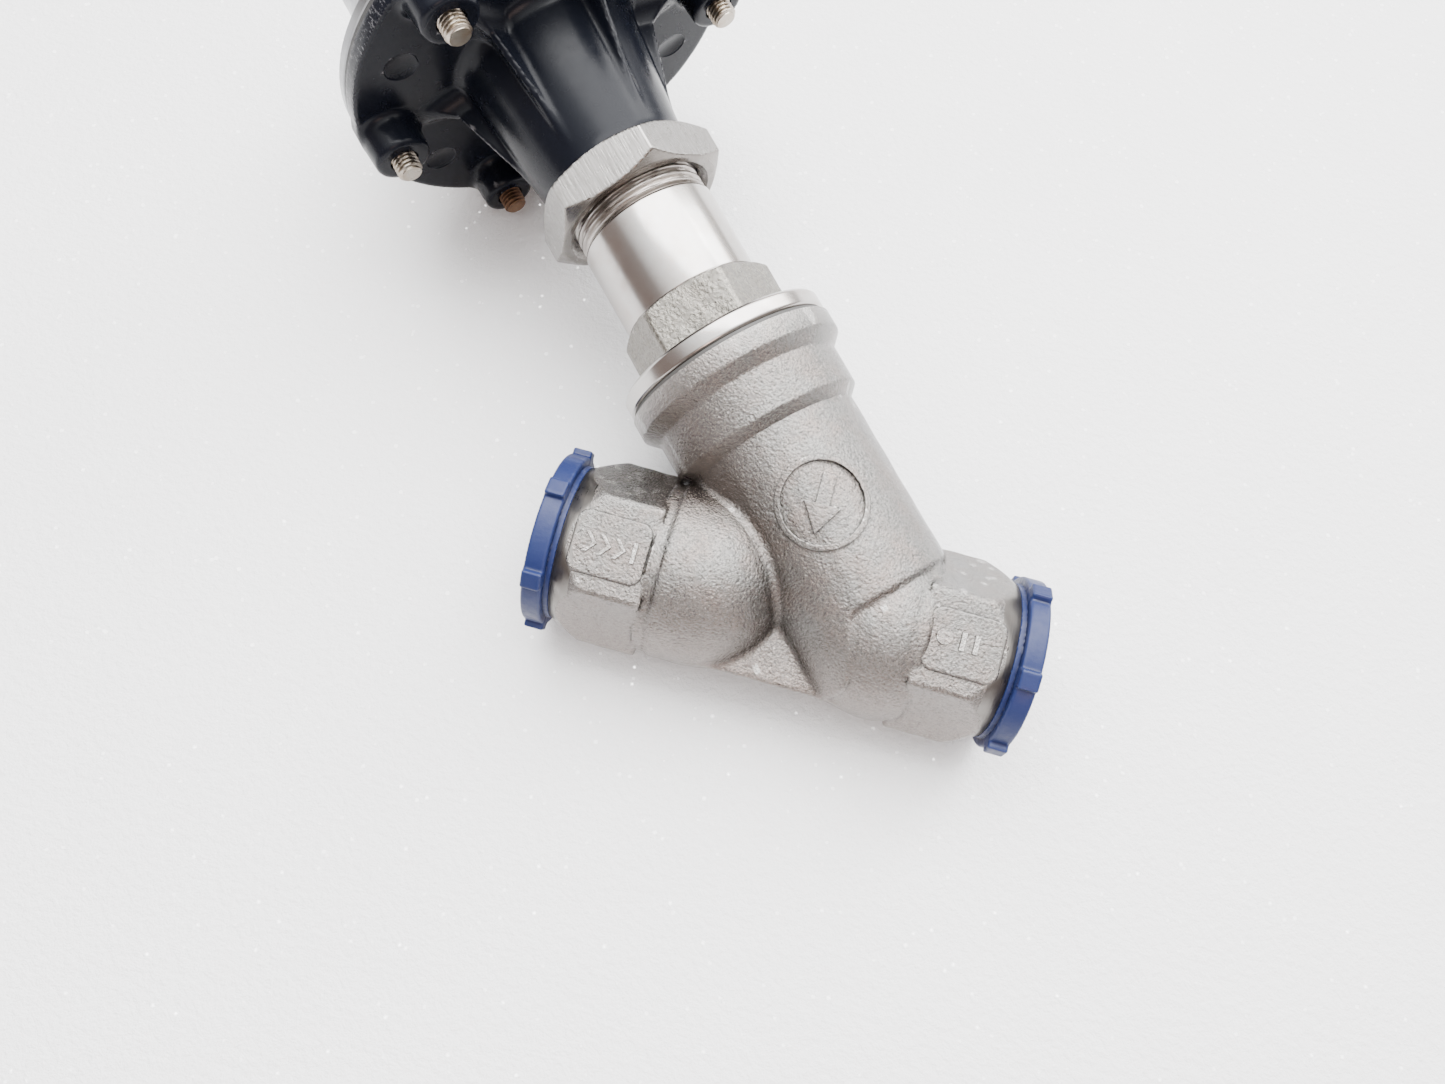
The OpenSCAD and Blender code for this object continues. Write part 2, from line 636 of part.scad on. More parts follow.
module valve_stem() color("#c9c9c6") on_stem() rotate_extrude() {
    stud_bottom_s = holder_s - disc_proud - washer_h - disc_nut_h - 0.8;
    polygon([
        [0, stud_bottom_s], [stud_r - 0.6, stud_bottom_s], [stud_r, stud_bottom_s + 0.6],
        [stud_r, stem_s], [stem_r - 0.4, stem_s], [stem_r, stem_s + 0.4], [stem_r, plate_s - 0.2],
        [stem_r - 0.2, plate_s], [stud_top_r, plate_s], [stud_top_r, stem_top_s - 0.6],
        [stud_top_r - 0.6, stem_top_s], [0, stem_top_s]]);
}

module disc_holder() color("#c0bbb0") on_stem(holder_s) difference() {
    union() {
        cylinder(r = holder_r, h = holder_h);
        cylinder(r = hub_r, h = holder_h + hub_h);
    }
    translate([0, 0, -cut]) cylinder(r = disc_r, h = disc_h - disc_proud + cut);
    cylinder(r = stud_r, h = 20);
}

module seat_disc() color("#f1f0ea")
    on_stem(lip_top_s + 0.02) tube(disc_r, stud_r, disc_h - 0.02);

module disc_washer() color("#c9c9c6")
    on_stem(lip_top_s + 0.02 - washer_h) tube(washer_r, stud_r, washer_h);

module disc_nut() color("#b8b8b4")
    on_stem(lip_top_s + 0.02 - washer_h - disc_nut_h) difference() {
        chamfered_hex(disc_nut_af, disc_nut_h, disc_nut_af / 2);
        translate([0, 0, -cut]) cylinder(r = stud_r, h = disc_nut_h + 2 * cut);
    }

module lower_plate() color("#a8a9a8")
    on_stem(plate_s) tube(plate_r, stud_top_r, plate_h);

module upper_plate() color("#a8a9a8") on_stem(upper_plate_s) difference() {
    union() {
        cylinder(r = plate_r, h = upper_plate_h);
        cylinder(r = upper_hub_r, h = upper_plate_h + upper_hub_h);
    }
    translate([0, 0, -cut]) cylinder(r = stud_top_r, h = 10);
}

module plate_nut() color("#b8b8b4") on_stem(plate_nut_s) difference() {
    chamfered_hex(plate_nut_af, plate_nut_h, plate_nut_af / 2);
    translate([0, 0, -cut]) cylinder(r = stud_top_r, h = plate_nut_h + 2 * cut);
}

module indicator_rod() color("#d8432a") on_stem() rotate_extrude() polygon([
    [0, stem_top_s], [rod_r, stem_top_s], [rod_r, dome_top_s + 0.5], [rod_r + 1.6, dome_top_s + 0.9],
    [rod_r + 1.6, rod_top_s - 0.5], [rod_r + 1.1, rod_top_s], [0, rod_top_s]]);

// ---------------------------------------------------------------- port caps

module port_cap(phase) {
    gap_h = 1;
    plug_r = mouth_r - 0.1;
    shoulder_r = 14.9;
    skin = 1.3;
    cap_top = gap_h + cap_h;
    rib_w = 3.4;
    difference() {
        union() {
            rotate_extrude() polygon([
                [0, -mouth_depth + 0.2], [plug_r - 0.3, -mouth_depth + 0.2], [plug_r, -mouth_depth + 0.5],
                [plug_r, 0], [shoulder_r, 0], [shoulder_r, gap_h], [cap_r, gap_h],
                [cap_r, cap_top - 0.4], [cap_r - 0.4, cap_top], [0, cap_top]]);
            for (i = [0 : 5])
                rotate(phase + 60 * i) translate([cap_r - 1, -rib_w / 2, gap_h])
                    cube([1 + cap_rib_h, rib_w, cap_h - 0.1]);
        }
        translate([0, 0, -mouth_depth + 0.2 + skin]) cylinder(r = plug_r - skin, h = cap_top + mouth_depth);
    }
}

module inlet_cap() color("#26408f") at_inlet() port_cap(40);
module outlet_cap() color("#26408f") at_outlet() port_cap(57);

// ---------------------------------------------------------------- assembly

valve_body();
bonnet_gasket();
bonnet();
stem_guide_bush();
packing_base_washer();
packing_spring();
packing_top_washer();
packing_rings();
gland_nut();
stem_wiper();
lock_nut();
swivel_clip();
actuator_housing();
seal_carrier();
carrier_o_ring();
stem_o_ring();
diaphragm();
top_cover();
flange_screws();
return_spring();
vent_plug();
window_o_ring();
indicator_window();
valve_stem();
disc_holder();
seat_disc();
disc_washer();
disc_nut();
lower_plate();
upper_plate();
plate_nut();
indicator_rod();
inlet_cap();
outlet_cap();
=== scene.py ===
import json
import math

import bpy
import numpy as np
from mathutils import Matrix, Vector


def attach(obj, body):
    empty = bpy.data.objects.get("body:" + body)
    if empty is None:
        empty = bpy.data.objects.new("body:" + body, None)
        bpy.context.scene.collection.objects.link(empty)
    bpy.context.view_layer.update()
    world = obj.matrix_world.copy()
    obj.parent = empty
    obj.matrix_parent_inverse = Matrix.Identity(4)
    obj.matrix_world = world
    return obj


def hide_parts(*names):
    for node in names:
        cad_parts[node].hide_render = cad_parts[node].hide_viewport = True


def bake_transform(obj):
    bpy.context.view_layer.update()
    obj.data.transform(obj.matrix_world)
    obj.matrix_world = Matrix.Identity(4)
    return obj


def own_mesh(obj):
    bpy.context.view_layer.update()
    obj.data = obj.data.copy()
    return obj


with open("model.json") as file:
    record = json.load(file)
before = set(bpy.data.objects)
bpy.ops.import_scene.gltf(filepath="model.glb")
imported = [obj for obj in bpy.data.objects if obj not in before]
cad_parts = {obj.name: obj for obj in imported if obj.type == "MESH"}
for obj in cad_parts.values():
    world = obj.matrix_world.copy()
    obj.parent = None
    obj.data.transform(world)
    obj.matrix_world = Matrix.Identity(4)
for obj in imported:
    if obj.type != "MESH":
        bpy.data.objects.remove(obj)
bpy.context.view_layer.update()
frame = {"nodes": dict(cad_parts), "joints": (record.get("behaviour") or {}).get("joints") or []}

# ---------- the frame
# Shapes are made in millimetres in one of three local frames and then placed in the row frame.

MM = 0.001
SWIVEL_S = 104  # station of the swivel joint's point
swivel = next(j for j in frame["joints"] if j["name"] == "actuator_swivel")
U = Vector(swivel["axis"]).normalized()  # along the stem
O = Vector(swivel["pos_m"]) - U * SWIVEL_S * MM  # where the stem and pipe axes cross
X = Vector((1, 0, 0))  # along the pipe, towards the inlet
Y = U.cross(X).normalized()  # square to both axes, away from above
Z = X.cross(Y)
V = Y.cross(U)


def place(a, b, c):
    """Matrix from millimetres along a, b and c, counted from O, to the row frame."""
    m = Matrix.Identity(4)
    for i, axis in enumerate((a, b, c)):
        for k in range(3):
            m[k][i] = axis[k] * MM
    for k in range(3):
        m[k][3] = O[k]
    return m


LAY = place(X, Y, Z)  # the pipe lies along x
STEM = place(V, Y, U)  # the stem stands along z
IN_END = 21.2  # from O to the inlet's face
OUT_END = 58.8  # from O to the outlet's face


def port_place(sign):
    """Local z points out of the inlet (+1) or outlet (-1) end, from its face."""
    m = place(-Z, Y * sign, X * sign)
    face = X * (IN_END if sign > 0 else -OUT_END) * MM
    return Matrix.Translation(face) @ m


# ---------- distance fields

HALF = math.sqrt(0.5)


def fuse(a, b, r):
    """Union with a concave fillet of radius r."""
    return np.maximum(r, np.minimum(a, b)) - np.hypot(np.maximum(r - a, 0), np.maximum(r - b, 0))


def meet(a, b, r):
    """Intersection with a rounded edge of radius r."""
    return np.minimum(-r, np.maximum(a, b)) + np.hypot(np.maximum(r + a, 0), np.maximum(r + b, 0))


def slab(x, lo, hi):
    """Distance to the space between lo and hi."""
    return np.abs(x - (lo + hi) / 2) - (hi - lo) / 2


def hexagon(x, y, af, r):
    """Distance to a hexagon with corners along x, flats af apart and corners rounded to r."""
    k = (-math.cos(math.radians(30)), 0.5, math.tan(math.radians(30)))
    h = af / 2 - r
    x = np.abs(x)
    y = np.abs(y)
    d = 2 * np.minimum(k[0] * x + k[1] * y, 0)
    x = x - d * k[0]
    y = y - d * k[1]
    x = x - np.clip(x, -k[2] * h, k[2] * h)
    y = y - h
    return np.hypot(x, y) * np.sign(y) - r


def turned(x, y, degrees):
    """Coordinates along axes that are turned by an angle."""
    a = math.radians(degrees)
    return x * math.cos(a) + y * math.sin(a), y * math.cos(a) - x * math.sin(a)


def box2(x, y, w, h, r):
    """Distance to a w by h rectangle with corners rounded to r."""
    a = np.abs(x) - w / 2 + r
    b = np.abs(y) - h / 2 + r
    return np.hypot(np.maximum(a, 0), np.maximum(b, 0)) + np.minimum(np.maximum(a, b), 0) - r


CORNERS = [(i, j, k) for i in (0, 1) for j in (0, 1) for k in (0, 1)]


def crossed_cells(inside):
    """The grid cells that the surface crosses, and each one's number or -1."""
    n = inside.shape

    def at(c):
        return tuple(slice(c[i], n[i] - 1 + c[i]) for i in range(3))

    count = sum(inside[at(c)].astype(np.int8) for c in CORNERS)
    cell = np.argwhere((count > 0) & (count < len(CORNERS)))
    index = np.full([m - 1 for m in n], -1, np.int64)
    index[tuple(cell.T)] = np.arange(len(cell))
    return cell, index


def cell_points(val, cell):
    """The mean of the crossings on each cell's edges, in steps of the grid."""
    value = [val[tuple((cell + c).T)] for c in CORNERS]
    total = np.zeros((len(cell), 3))
    hits = np.zeros(len(cell))
    for a in range(len(CORNERS)):
        for b in range(a + 1, len(CORNERS)):
            ca, cb = np.array(CORNERS[a]), np.array(CORNERS[b])
            if abs(ca - cb).sum() != 1:
                continue
            crossed = (value[a] < 0) != (value[b] < 0)
            t = np.where(crossed, value[a] / np.where(crossed, value[a] - value[b], 1), 0)
            total += np.where(crossed[:, None], ca + t[:, None] * (cb - ca), 0)
            hits += crossed
    return cell + total / hits[:, None]


def cell_quads(inside, index):
    """One quad across each grid edge that the surface crosses, facing outwards."""
    n = inside.shape
    quads = []
    for d in range(3):
        p, q = (d + 1) % 3, (d + 2) % 3
        here = [slice(0, m) for m in n]
        there = [slice(0, m) for m in n]
        here[d], there[d] = slice(0, n[d] - 1), slice(1, n[d])
        for axis in (p, q):
            here[axis] = there[axis] = slice(1, n[axis] - 1)
        a, b = inside[tuple(here)], inside[tuple(there)]
        for flip in (False, True):
            e = np.argwhere(b & ~a if flip else a & ~b)
            e[:, p] += 1
            e[:, q] += 1
            ring = []
            for dp, dq in ((-1, -1), (0, -1), (0, 0), (-1, 0)):
                c = e.copy()
                c[:, p] += dp
                c[:, q] += dq
                ring.append(index[tuple(c.T)])
            quads.append(np.stack(ring[::-1] if flip else ring, 1))
    return np.concatenate(quads)


def net(f, lo, hi, step):
    """Points and quads of the surface f = 0, one point in each cell that it crosses."""
    axes = [np.arange(lo[i], hi[i] + step, step) for i in range(3)]
    val = f(axes[0][:, None, None], axes[1][None, :, None], axes[2][None, None, :])
    inside = val < 0
    cell, index = crossed_cells(inside)
    points = np.array(lo) + cell_points(val, cell) * step
    return settle(f, points, step), cell_quads(inside, index)


def settle(f, points, step, rounds=3):
    """Moves points onto f = 0 along its slope."""
    e = 0.02
    for _ in range(rounds):
        x, y, z = points.T
        v = f(x, y, z)
        g = np.stack([f(x + e, y, z) - f(x - e, y, z), f(x, y + e, z) - f(x, y - e, z),
                      f(x, y, z + e) - f(x, y, z - e)], 1) / (2 * e)
        move = v / np.maximum((g ** 2).sum(1), 0.2)
        points = points - g * np.clip(move, -step / 2, step / 2)[:, None]
    return points


# ---------- meshes

def new_object(name, points, faces):
    mesh = bpy.data.meshes.new(name)
    mesh.from_pydata(np.asarray(points, float).tolist(), [], [list(map(int, f)) for f in faces])
    mesh.update()
    obj = bpy.data.objects.new(name, mesh)
    bpy.context.scene.collection.objects.link(obj)
    return obj


def shape(name, f, lo, hi, step):
    """The surface f = 0 inside a box, as an object."""
    return new_object(name, *net(f, lo, hi, step))


def grid_faces(rows, cols, closed):
    """Quads of a grid of points, row by row; closed joins the last row to the first."""
    i = np.arange(rows if closed else rows - 1)[:, None]
    j = np.arange(cols)[None, :]
    nxt = (i + 1) % rows
    k = (j + 1) % cols
    return np.stack([i * cols + j, i * cols + k, nxt * cols + k, nxt * cols + j], -1).reshape(-1, 4)


def lathe(name, profile, sides=128, closed=False):
    """Turns (r, z) points about z. An open profile starts and ends on the axis, r = 0."""
    prof = np.array(profile, float)
    body = prof if closed else prof[1:-1]
    a = np.arange(sides) * 2 * math.pi / sides
    pts = np.stack([body[:, :1] * np.cos(a), body[:, :1] * np.sin(a),
                    np.repeat(body[:, 1:], sides, 1)], -1).reshape(-1, 3)
    faces = grid_faces(len(body), sides, closed).tolist()
    if not closed:
        last = len(pts)
        pts = np.vstack([pts, [0, 0, prof[0, 1]], [0, 0, prof[-1, 1]]])
        top = (len(body) - 1) * sides
        for j in range(sides):
            k = (j + 1) % sides
            faces.append([last, k, j])
            faces.append([last + 1, top + j, top + k])
    obj = new_object(name, pts, faces)
    return outward(obj)


def outward(obj):
    """Turns the mesh inside out if it encloses a negative volume."""
    me = obj.data
    co = np.zeros(len(me.vertices) * 3)
    me.vertices.foreach_get("co", co)
    co = co.reshape(-1, 3)
    me.calc_loop_triangles()
    tri = np.zeros(len(me.loop_triangles) * 3, np.int32)
    me.loop_triangles.foreach_get("vertices", tri)
    a, b, c = (co[tri.reshape(-1, 3)[:, i]] for i in range(3))
    if np.einsum("ij,ij->i", a, np.cross(b, c)).sum() < 0:
        me.flip_normals()
    return obj


def soften(profile, radius, steps=3):
    """Rounds the inner corners of an (r, z) profile."""
    pts = [np.array(p, float) for p in profile]
    out = [pts[0]]
    for before, p, after in zip(pts, pts[1:], pts[2:]):
        a = before - p
        b = after - p
        reach = min(radius, np.hypot(*a) * 0.45, np.hypot(*b) * 0.45)
        a = p + a / max(np.hypot(*a), 1e-9) * reach
        b = p + b / max(np.hypot(*b), 1e-9) * reach
        for i in range(steps + 1):
            t = i / steps
            out.append((1 - t) ** 2 * a + 2 * t * (1 - t) * p + t ** 2 * b)
    out.append(pts[-1])
    return out


def screw_surface(name, root, crest, pitch, lo, hi, sides=72, lead_in=0.8, step=0.16):
    """A closed rod whose wall is a thread, tapering into the root at both ends."""
    rows = max(4, int((hi - lo) / step) + 1)
    z = np.linspace(lo, hi, rows)
    a = np.arange(sides) * 2 * math.pi / sides
    turn = (z[:, None] / pitch - a[None, :] / (2 * math.pi)) % 1
    tooth = np.clip(1.5 - np.abs(turn - 0.5) * 4, 0, 1)
    ends = np.clip(np.minimum(z - lo, hi - z) / lead_in, 0, 1)[:, None]
    r = root + (crest - root) * tooth * ends
    pts = np.stack([r * np.cos(a), r * np.sin(a), np.repeat(z[:, None], sides, 1)], -1)
    pts = pts.reshape(-1, 3)
    faces = grid_faces(rows, sides, False).tolist()
    n = len(pts)
    pts = np.vstack([pts, [0, 0, lo], [0, 0, hi]])
    for j in range(sides):
        k = (j + 1) % sides
        faces.append([n, k, j])
        faces.append([n + 1, (rows - 1) * sides + j, (rows - 1) * sides + k])
    return outward(new_object(name, pts, faces))


def prism(name, outline, lo, hi, draft=0.0):
    """An outline pushed from z = lo to hi, and drawn in by draft at the top."""
    flat = np.array(outline, float)
    n = len(flat)
    before, after = np.roll(flat, 1, 0), np.roll(flat, -1, 0)
    side = after - before
    inward = np.stack([-side[:, 1], side[:, 0]], 1)
    inward /= np.maximum(np.hypot(*inward.T), 1e-9)[:, None]
    top = flat + inward * draft
    pts = np.vstack([np.c_[flat, np.full(n, lo)], np.c_[top, np.full(n, hi)]])
    faces = [list(range(n))[::-1], list(range(n, 2 * n))]
    faces += [[i, (i + 1) % n, n + (i + 1) % n, n + i] for i in range(n)]
    return outward(new_object(name, pts, faces))


def combine(obj, others, operation):
    """Applies a boolean with each of the others, and removes them."""
    for other in others:
        mod = obj.modifiers.new("boolean", "BOOLEAN")
        mod.operation = operation
        mod.solver = "MANIFOLD"
        mod.object = other
        graph = bpy.context.evaluated_depsgraph_get()
        mesh = bpy.data.meshes.new_from_object(obj.evaluated_get(graph))
        obj.modifiers.clear()
        old = obj.data
        obj.data = mesh
        bpy.data.meshes.remove(old)
        bpy.data.objects.remove(other)
    return obj


def moved(obj, matrix):
    obj.data.transform(matrix)
    return obj


def rot(axis, degrees):
    return Matrix.Rotation(math.radians(degrees), 4, axis)


def shift(x=0, y=0, z=0):
    return Matrix.Translation((x, y, z))


def join(name, objects):
    """One mesh from several objects that don't touch."""
    pts = []
    faces = []
    for o in objects:
        base = len(pts)
        pts += [tuple(v.co) for v in o.data.vertices]
        faces += [[base + i for i in p.vertices] for p in o.data.polygons]
        bpy.data.objects.remove(o)
    return new_object(name, pts, faces)


def dress(me, matrix, materials, crease):
    """Gives a mesh its materials, its place and smooth shading up to the crease angle."""
    me.materials.clear()
    for m in materials:
        me.materials.append(m)
    me.transform(matrix)
    me.polygons.foreach_set("use_smooth", np.ones(len(me.polygons), bool))
    me.set_sharp_from_angle(angle=math.radians(crease))
    me.update()


def finish_piece(obj, name, matrix, body, materials, stands_for, crease=32, pick=None):
    """Places a piece, shades it, hangs it from its body's empty and hides the CAD nodes that it stands
    for.
    """
    obj.name = name
    obj.data.name = name
    me = obj.data
    me.validate()
    n = len(me.polygons)
    which = np.zeros(n)
    if pick:
        centre = np.zeros(n * 3)
        me.polygons.foreach_get("center", centre)
        normal = np.zeros(n * 3)
        me.polygons.foreach_get("normal", normal)
        which = pick(*centre.reshape(-1, 3).T, *normal.reshape(-1, 3).T)
    dress(me, matrix, materials, crease)
    me.polygons.foreach_set("material_index", np.asarray(which, np.int32))
    me.update()
    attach(obj, body)
    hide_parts(*stands_for)
    return obj


# ---------- materials

class Graph:
    """A short way to write shader nodes."""

    def __init__(self, name):
        self.material = bpy.data.materials.new(name)
        self.material.use_nodes = True
        self.tree = self.material.node_tree
        self.shader = self.tree.nodes["Principled BSDF"]
        coord = self.tree.nodes.new("ShaderNodeTexCoord")
        self.where = coord.outputs["Object"]

    def link(self, a, b):
        self.tree.links.new(a, b)

    def node(self, kind, **values):
        n = self.tree.nodes.new(kind)
        for key, value in values.items():
            setattr(n, key, value)
        return n

    def noise(self, scale, detail=3.0, rough=0.55, vector=None):
        n = self.node("ShaderNodeTexNoise")
        n.inputs["Scale"].default_value = scale
        n.inputs["Detail"].default_value = detail
        n.inputs["Roughness"].default_value = rough
        self.link(vector or self.where, n.inputs["Vector"])
        return n.outputs["Fac"]

    def cells(self, scale, vector=None):
        n = self.node("ShaderNodeTexVoronoi")
        n.inputs["Scale"].default_value = scale
        self.link(vector or self.where, n.inputs["Vector"])
        return n.outputs["Distance"]

    def remap(self, value, a, b, c, d):
        n = self.node("ShaderNodeMapRange")
        self.link(value, n.inputs["Value"])
        for key, v in zip(("From Min", "From Max", "To Min", "To Max"), (a, b, c, d)):
            n.inputs[key].default_value = v
        return n.outputs["Result"]

    def math(self, kind, a, b):
        n = self.node("ShaderNodeMath", operation=kind)
        for i, v in enumerate((a, b)):
            if isinstance(v, (int, float)):
                n.inputs[i].default_value = v
            else:
                self.link(v, n.inputs[i])
        return n.outputs[0]

    def add(self, a, b):
        return self.math("ADD", a, b)

    def mul(self, a, b):
        return self.math("MULTIPLY", a, b)

    def blend(self, factor, a, b):
        n = self.node("ShaderNodeMix", data_type="RGBA")
        self.link(factor, n.inputs[0])
        for socket, v in ((n.inputs[6], a), (n.inputs[7], b)):
            if isinstance(v, tuple):
                socket.default_value = (*v, 1)
            else:
                self.link(v, socket)
        return n.outputs[2]

    def along(self, axis, origin=O):
        """Distance along an axis, in metres."""
        sub = self.node("ShaderNodeVectorMath", operation="SUBTRACT")
        self.link(self.where, sub.inputs[0])
        sub.inputs[1].default_value = origin
        dot = self.node("ShaderNodeVectorMath", operation="DOT_PRODUCT")
        self.link(sub.outputs[0], dot.inputs[0])
        dot.inputs[1].default_value = axis
        return dot.outputs["Value"]

    def as_vector(self, x=0.0, y=0.0, z=0.0):
        n = self.node("ShaderNodeCombineXYZ")
        for i, v in enumerate((x, y, z)):
            if isinstance(v, (int, float)):
                n.inputs[i].default_value = v
            else:
                self.link(v, n.inputs[i])
        return n.outputs[0]

    def edges(self, lo=0.52, hi=0.6):
        """1 on convex edges, 0 elsewhere."""
        n = self.node("ShaderNodeNewGeometry")
        return self.remap(n.outputs["Pointiness"], lo, hi, 0, 1)

    def bump(self, height, distance, strength=1.0, below=None):
        n = self.node("ShaderNodeBump")
        n.inputs["Distance"].default_value = distance
        n.inputs["Strength"].default_value = strength
        self.link(height, n.inputs["Height"])
        if below:
            self.link(below, n.inputs["Normal"])
        return n.outputs["Normal"]

    def done(self, color, rough, normal=None, metallic=0.0, **sockets):
        s = self.shader.inputs
        s["Metallic"].default_value = metallic
        self.link(color, s["Base Color"])
        self.link(rough, s["Roughness"])
        if normal:
            self.link(normal, s["Normal"])
        for key, value in sockets.items():
            s[key.replace("_", " ")].default_value = value
        return self.material


def cast_metal(name, base, tint, rough, grain_scale=2600, depth=0.00012):
    """Blasted investment casting: fine grain, small pits, soft colour drift, a painted warm reflection and
    shade towards -Z and on the branch's left flank, and painted shade in creases.
    """
    g = Graph(name)
    grain = g.noise(grain_scale, 4, 0.7)
    pits = g.remap(g.cells(grain_scale * 0.55), 0.05, 0.5, 0, 1)
    soft = g.noise(160, 3)
    height = g.add(grain, g.mul(pits, 0.35))
    height = g.add(height, g.mul(g.noise(700, 2), 0.35))
    # painted warm reflection and shade: the tint is laid on towards -Z and on the branch's left flank,
    # where dim, warm surroundings reflect; the flank band stops short of the hexagon's end
    low_painted_reflection = g.remap(g.along(Z), -0.003, -0.015, 0, 0.8)
    across = g.along(V)
    left = g.mul(g.remap(across, -0.004, -0.014, 0, 0.65), g.remap(g.along(U), 0.024, 0.034, 0, 1))
    left = g.mul(left, g.remap(across, -0.026, -0.021, 0, 1))
    # the soft noise is real colour drift; the two masks above add the painted warm reflection and shade
    drift_and_painted_reflection = g.math("MAXIMUM", g.math("MAXIMUM", low_painted_reflection, left), g.remap(soft, 0.42, 0.7, 0, 0.8))
    color = g.blend(drift_and_painted_reflection, base, tint)
    dark = tuple(c * 0.5 for c in base)
    color = g.blend(g.remap(grain, 0.36, 0.5, 0.75, 0), color, dark)
    # painted shade: concave creases darker
    color = g.blend(g.edges(0.485, 0.43), color, tuple(c * 0.4 for c in base))
    color = g.blend(g.edges(0.53, 0.62), color, tuple(c * 1.8 for c in base))
    roughness = g.remap(g.noise(420, 3), 0.3, 0.7, rough - 0.06, rough + 0.08)
    return g.done(color, roughness, g.bump(height, depth), metallic=1.0)


def turned_metal(name, base, tint, rough, axis=U, pitch=5200, depth=0.00001):
    """Turned steel: fine rings about an axis, with a few stains."""
    g = Graph(name)
    s = g.along(axis)
    rings = g.noise(pitch, 2, 0.6, g.as_vector(s))
    stain = g.noise(240, 4, 0.6)
    color = g.blend(g.remap(stain, 0.4, 0.72, 0, 1), base, tint)
    roughness = g.remap(g.add(rings, stain), 0.7, 1.3, rough * 0.75, rough * 1.35)
    height = g.add(rings, g.mul(g.noise(1400, 2), 0.3))
    return g.done(color, roughness, g.bump(height, depth), metallic=1.0)


def milled_metal(name, base, tint, rough):
    """Machined flats: short strokes across each flat, and smooth chamfers."""
    g = Graph(name)
    along = g.along(U)
    across = g.along(V)
    depth = g.along(Y)
    strokes = g.as_vector(g.mul(across, 3800), g.mul(depth, 3800), g.mul(along, 160))
    lines = g.noise(1.0, 3, 0.65, strokes)
    dots = g.noise(900, 3)
    color = g.blend(g.remap(lines, 0.42, 0.66, 0, 1), base, tint)
    roughness = g.remap(g.add(lines, dots), 0.7, 1.3, rough * 0.8, rough * 1.3)
    height = g.add(lines, g.mul(dots, 0.25))
    return g.done(color, roughness, g.bump(height, 0.00005), metallic=1.0)


def moulded(name, base, worn, rough, grain=1500, depth=0.00003, edge=0.35, **sockets):
    """Moulded plastic: slight orange peel, dust and lighter edges, and painted shade in creases."""
    g = Graph(name)
    peel = g.noise(grain, 3, 0.6)
    dust = g.noise(90, 5, 0.7)
    scuff = g.mul(g.edges(), edge)
    dusty = g.math("MAXIMUM", scuff, g.remap(dust, 0.58, 0.9, 0, 0.04))
    color = g.blend(dusty, base, worn)
    # painted shade: concave creases darker
    color = g.blend(g.edges(0.485, 0.43), color, tuple(c * 0.3 for c in base))
    roughness = g.remap(g.add(dust, peel), 0.75, 1.3, rough * 0.8, rough * 1.3)
    return g.done(color, roughness, g.bump(peel, depth), **sockets)


def black_housing():
    """Glossy black paint with a painted highlight on the rib crests, painted shade in creases, and a rim
    that is scuffed across its edge.
    """
    g = Graph("black_housing")
    across, depth = g.along(V), g.along(Y)
    squares = g.add(g.mul(across, across), g.mul(depth, depth))
    radius = g.math("POWER", squares, 0.5)
    lean = g.mul(g.along(U), 900)
    strokes = g.noise(1.0, 3, 0.7, g.as_vector(g.mul(across, 2600), g.mul(depth, 2600), lean))
    rim = g.mul(g.remap(radius, 0.0397, 0.0399, 0, 1), g.remap(g.along(U), 0.1283, 0.1286, 0, 1))
    scuffed = g.mul(rim, g.remap(strokes, 0.54, 0.66, 0, 0.45))
    # painted highlight: sharp convex crests lighter; the scuffed rim beside it is real wear
    crest = g.mul(g.edges(0.54, 0.64), 0.4)
    peel = g.noise(500, 2)
    color = g.blend(g.math("MAXIMUM", scuffed, crest), (0.0045, 0.0055, 0.009), (0.22, 0.22, 0.23))
    # painted shade: concave creases nearly black
    color = g.blend(g.edges(0.47, 0.42), color, (0.002, 0.0022, 0.003))
    roughness = g.remap(peel, 0.3, 0.7, 0.22, 0.28)
    return g.done(color, roughness, g.bump(peel, 0.00001), Specular_IOR_Level=0.13)


CAST = cast_metal("cast_stainless", (0.205, 0.199, 0.190), (0.222, 0.188, 0.170), 0.21, 2300, 0.0002)
CAST_HEX = cast_metal("cast_hexagon", (0.22, 0.21, 0.188), (0.185, 0.168, 0.145), 0.25, 1700, 0.0002)
POLISHED = turned_metal("polished_stainless", (0.44, 0.425, 0.41), (0.40, 0.365, 0.34), 0.19)
TURNED = turned_metal("turned_stainless", (0.36, 0.345, 0.33), (0.31, 0.28, 0.26), 0.22)
TURNED_RUN = turned_metal("turned_ends", (0.19, 0.18, 0.168), (0.165, 0.152, 0.14), 0.32, X, 3600, 0.00003)
THREAD = turned_metal("thread_stainless", (0.42, 0.39, 0.365), (0.35, 0.315, 0.29), 0.3)
NUT = milled_metal("machined_nut", (0.32, 0.31, 0.298), (0.22, 0.21, 0.20), 0.28)
CHAMFER = turned_metal("machined_chamfer", (0.20, 0.185, 0.17), (0.17, 0.155, 0.142), 0.26)
SCREW = turned_metal("screw_steel", (0.36, 0.325, 0.28), (0.27, 0.21, 0.15), 0.3, U, 2600, 0.00002)
RUSTY = cast_metal("rusty_screw", (0.17, 0.105, 0.065), (0.10, 0.05, 0.03), 0.5, 1800, 0.0001)
SPRING = turned_metal("spring_steel", (0.42, 0.42, 0.43), (0.34, 0.33, 0.33), 0.32)
COVER = turned_metal("satin_cover", (0.25, 0.255, 0.26), (0.21, 0.215, 0.225), 0.32, U, 2400, 0.00002)
BLACK = black_housing()
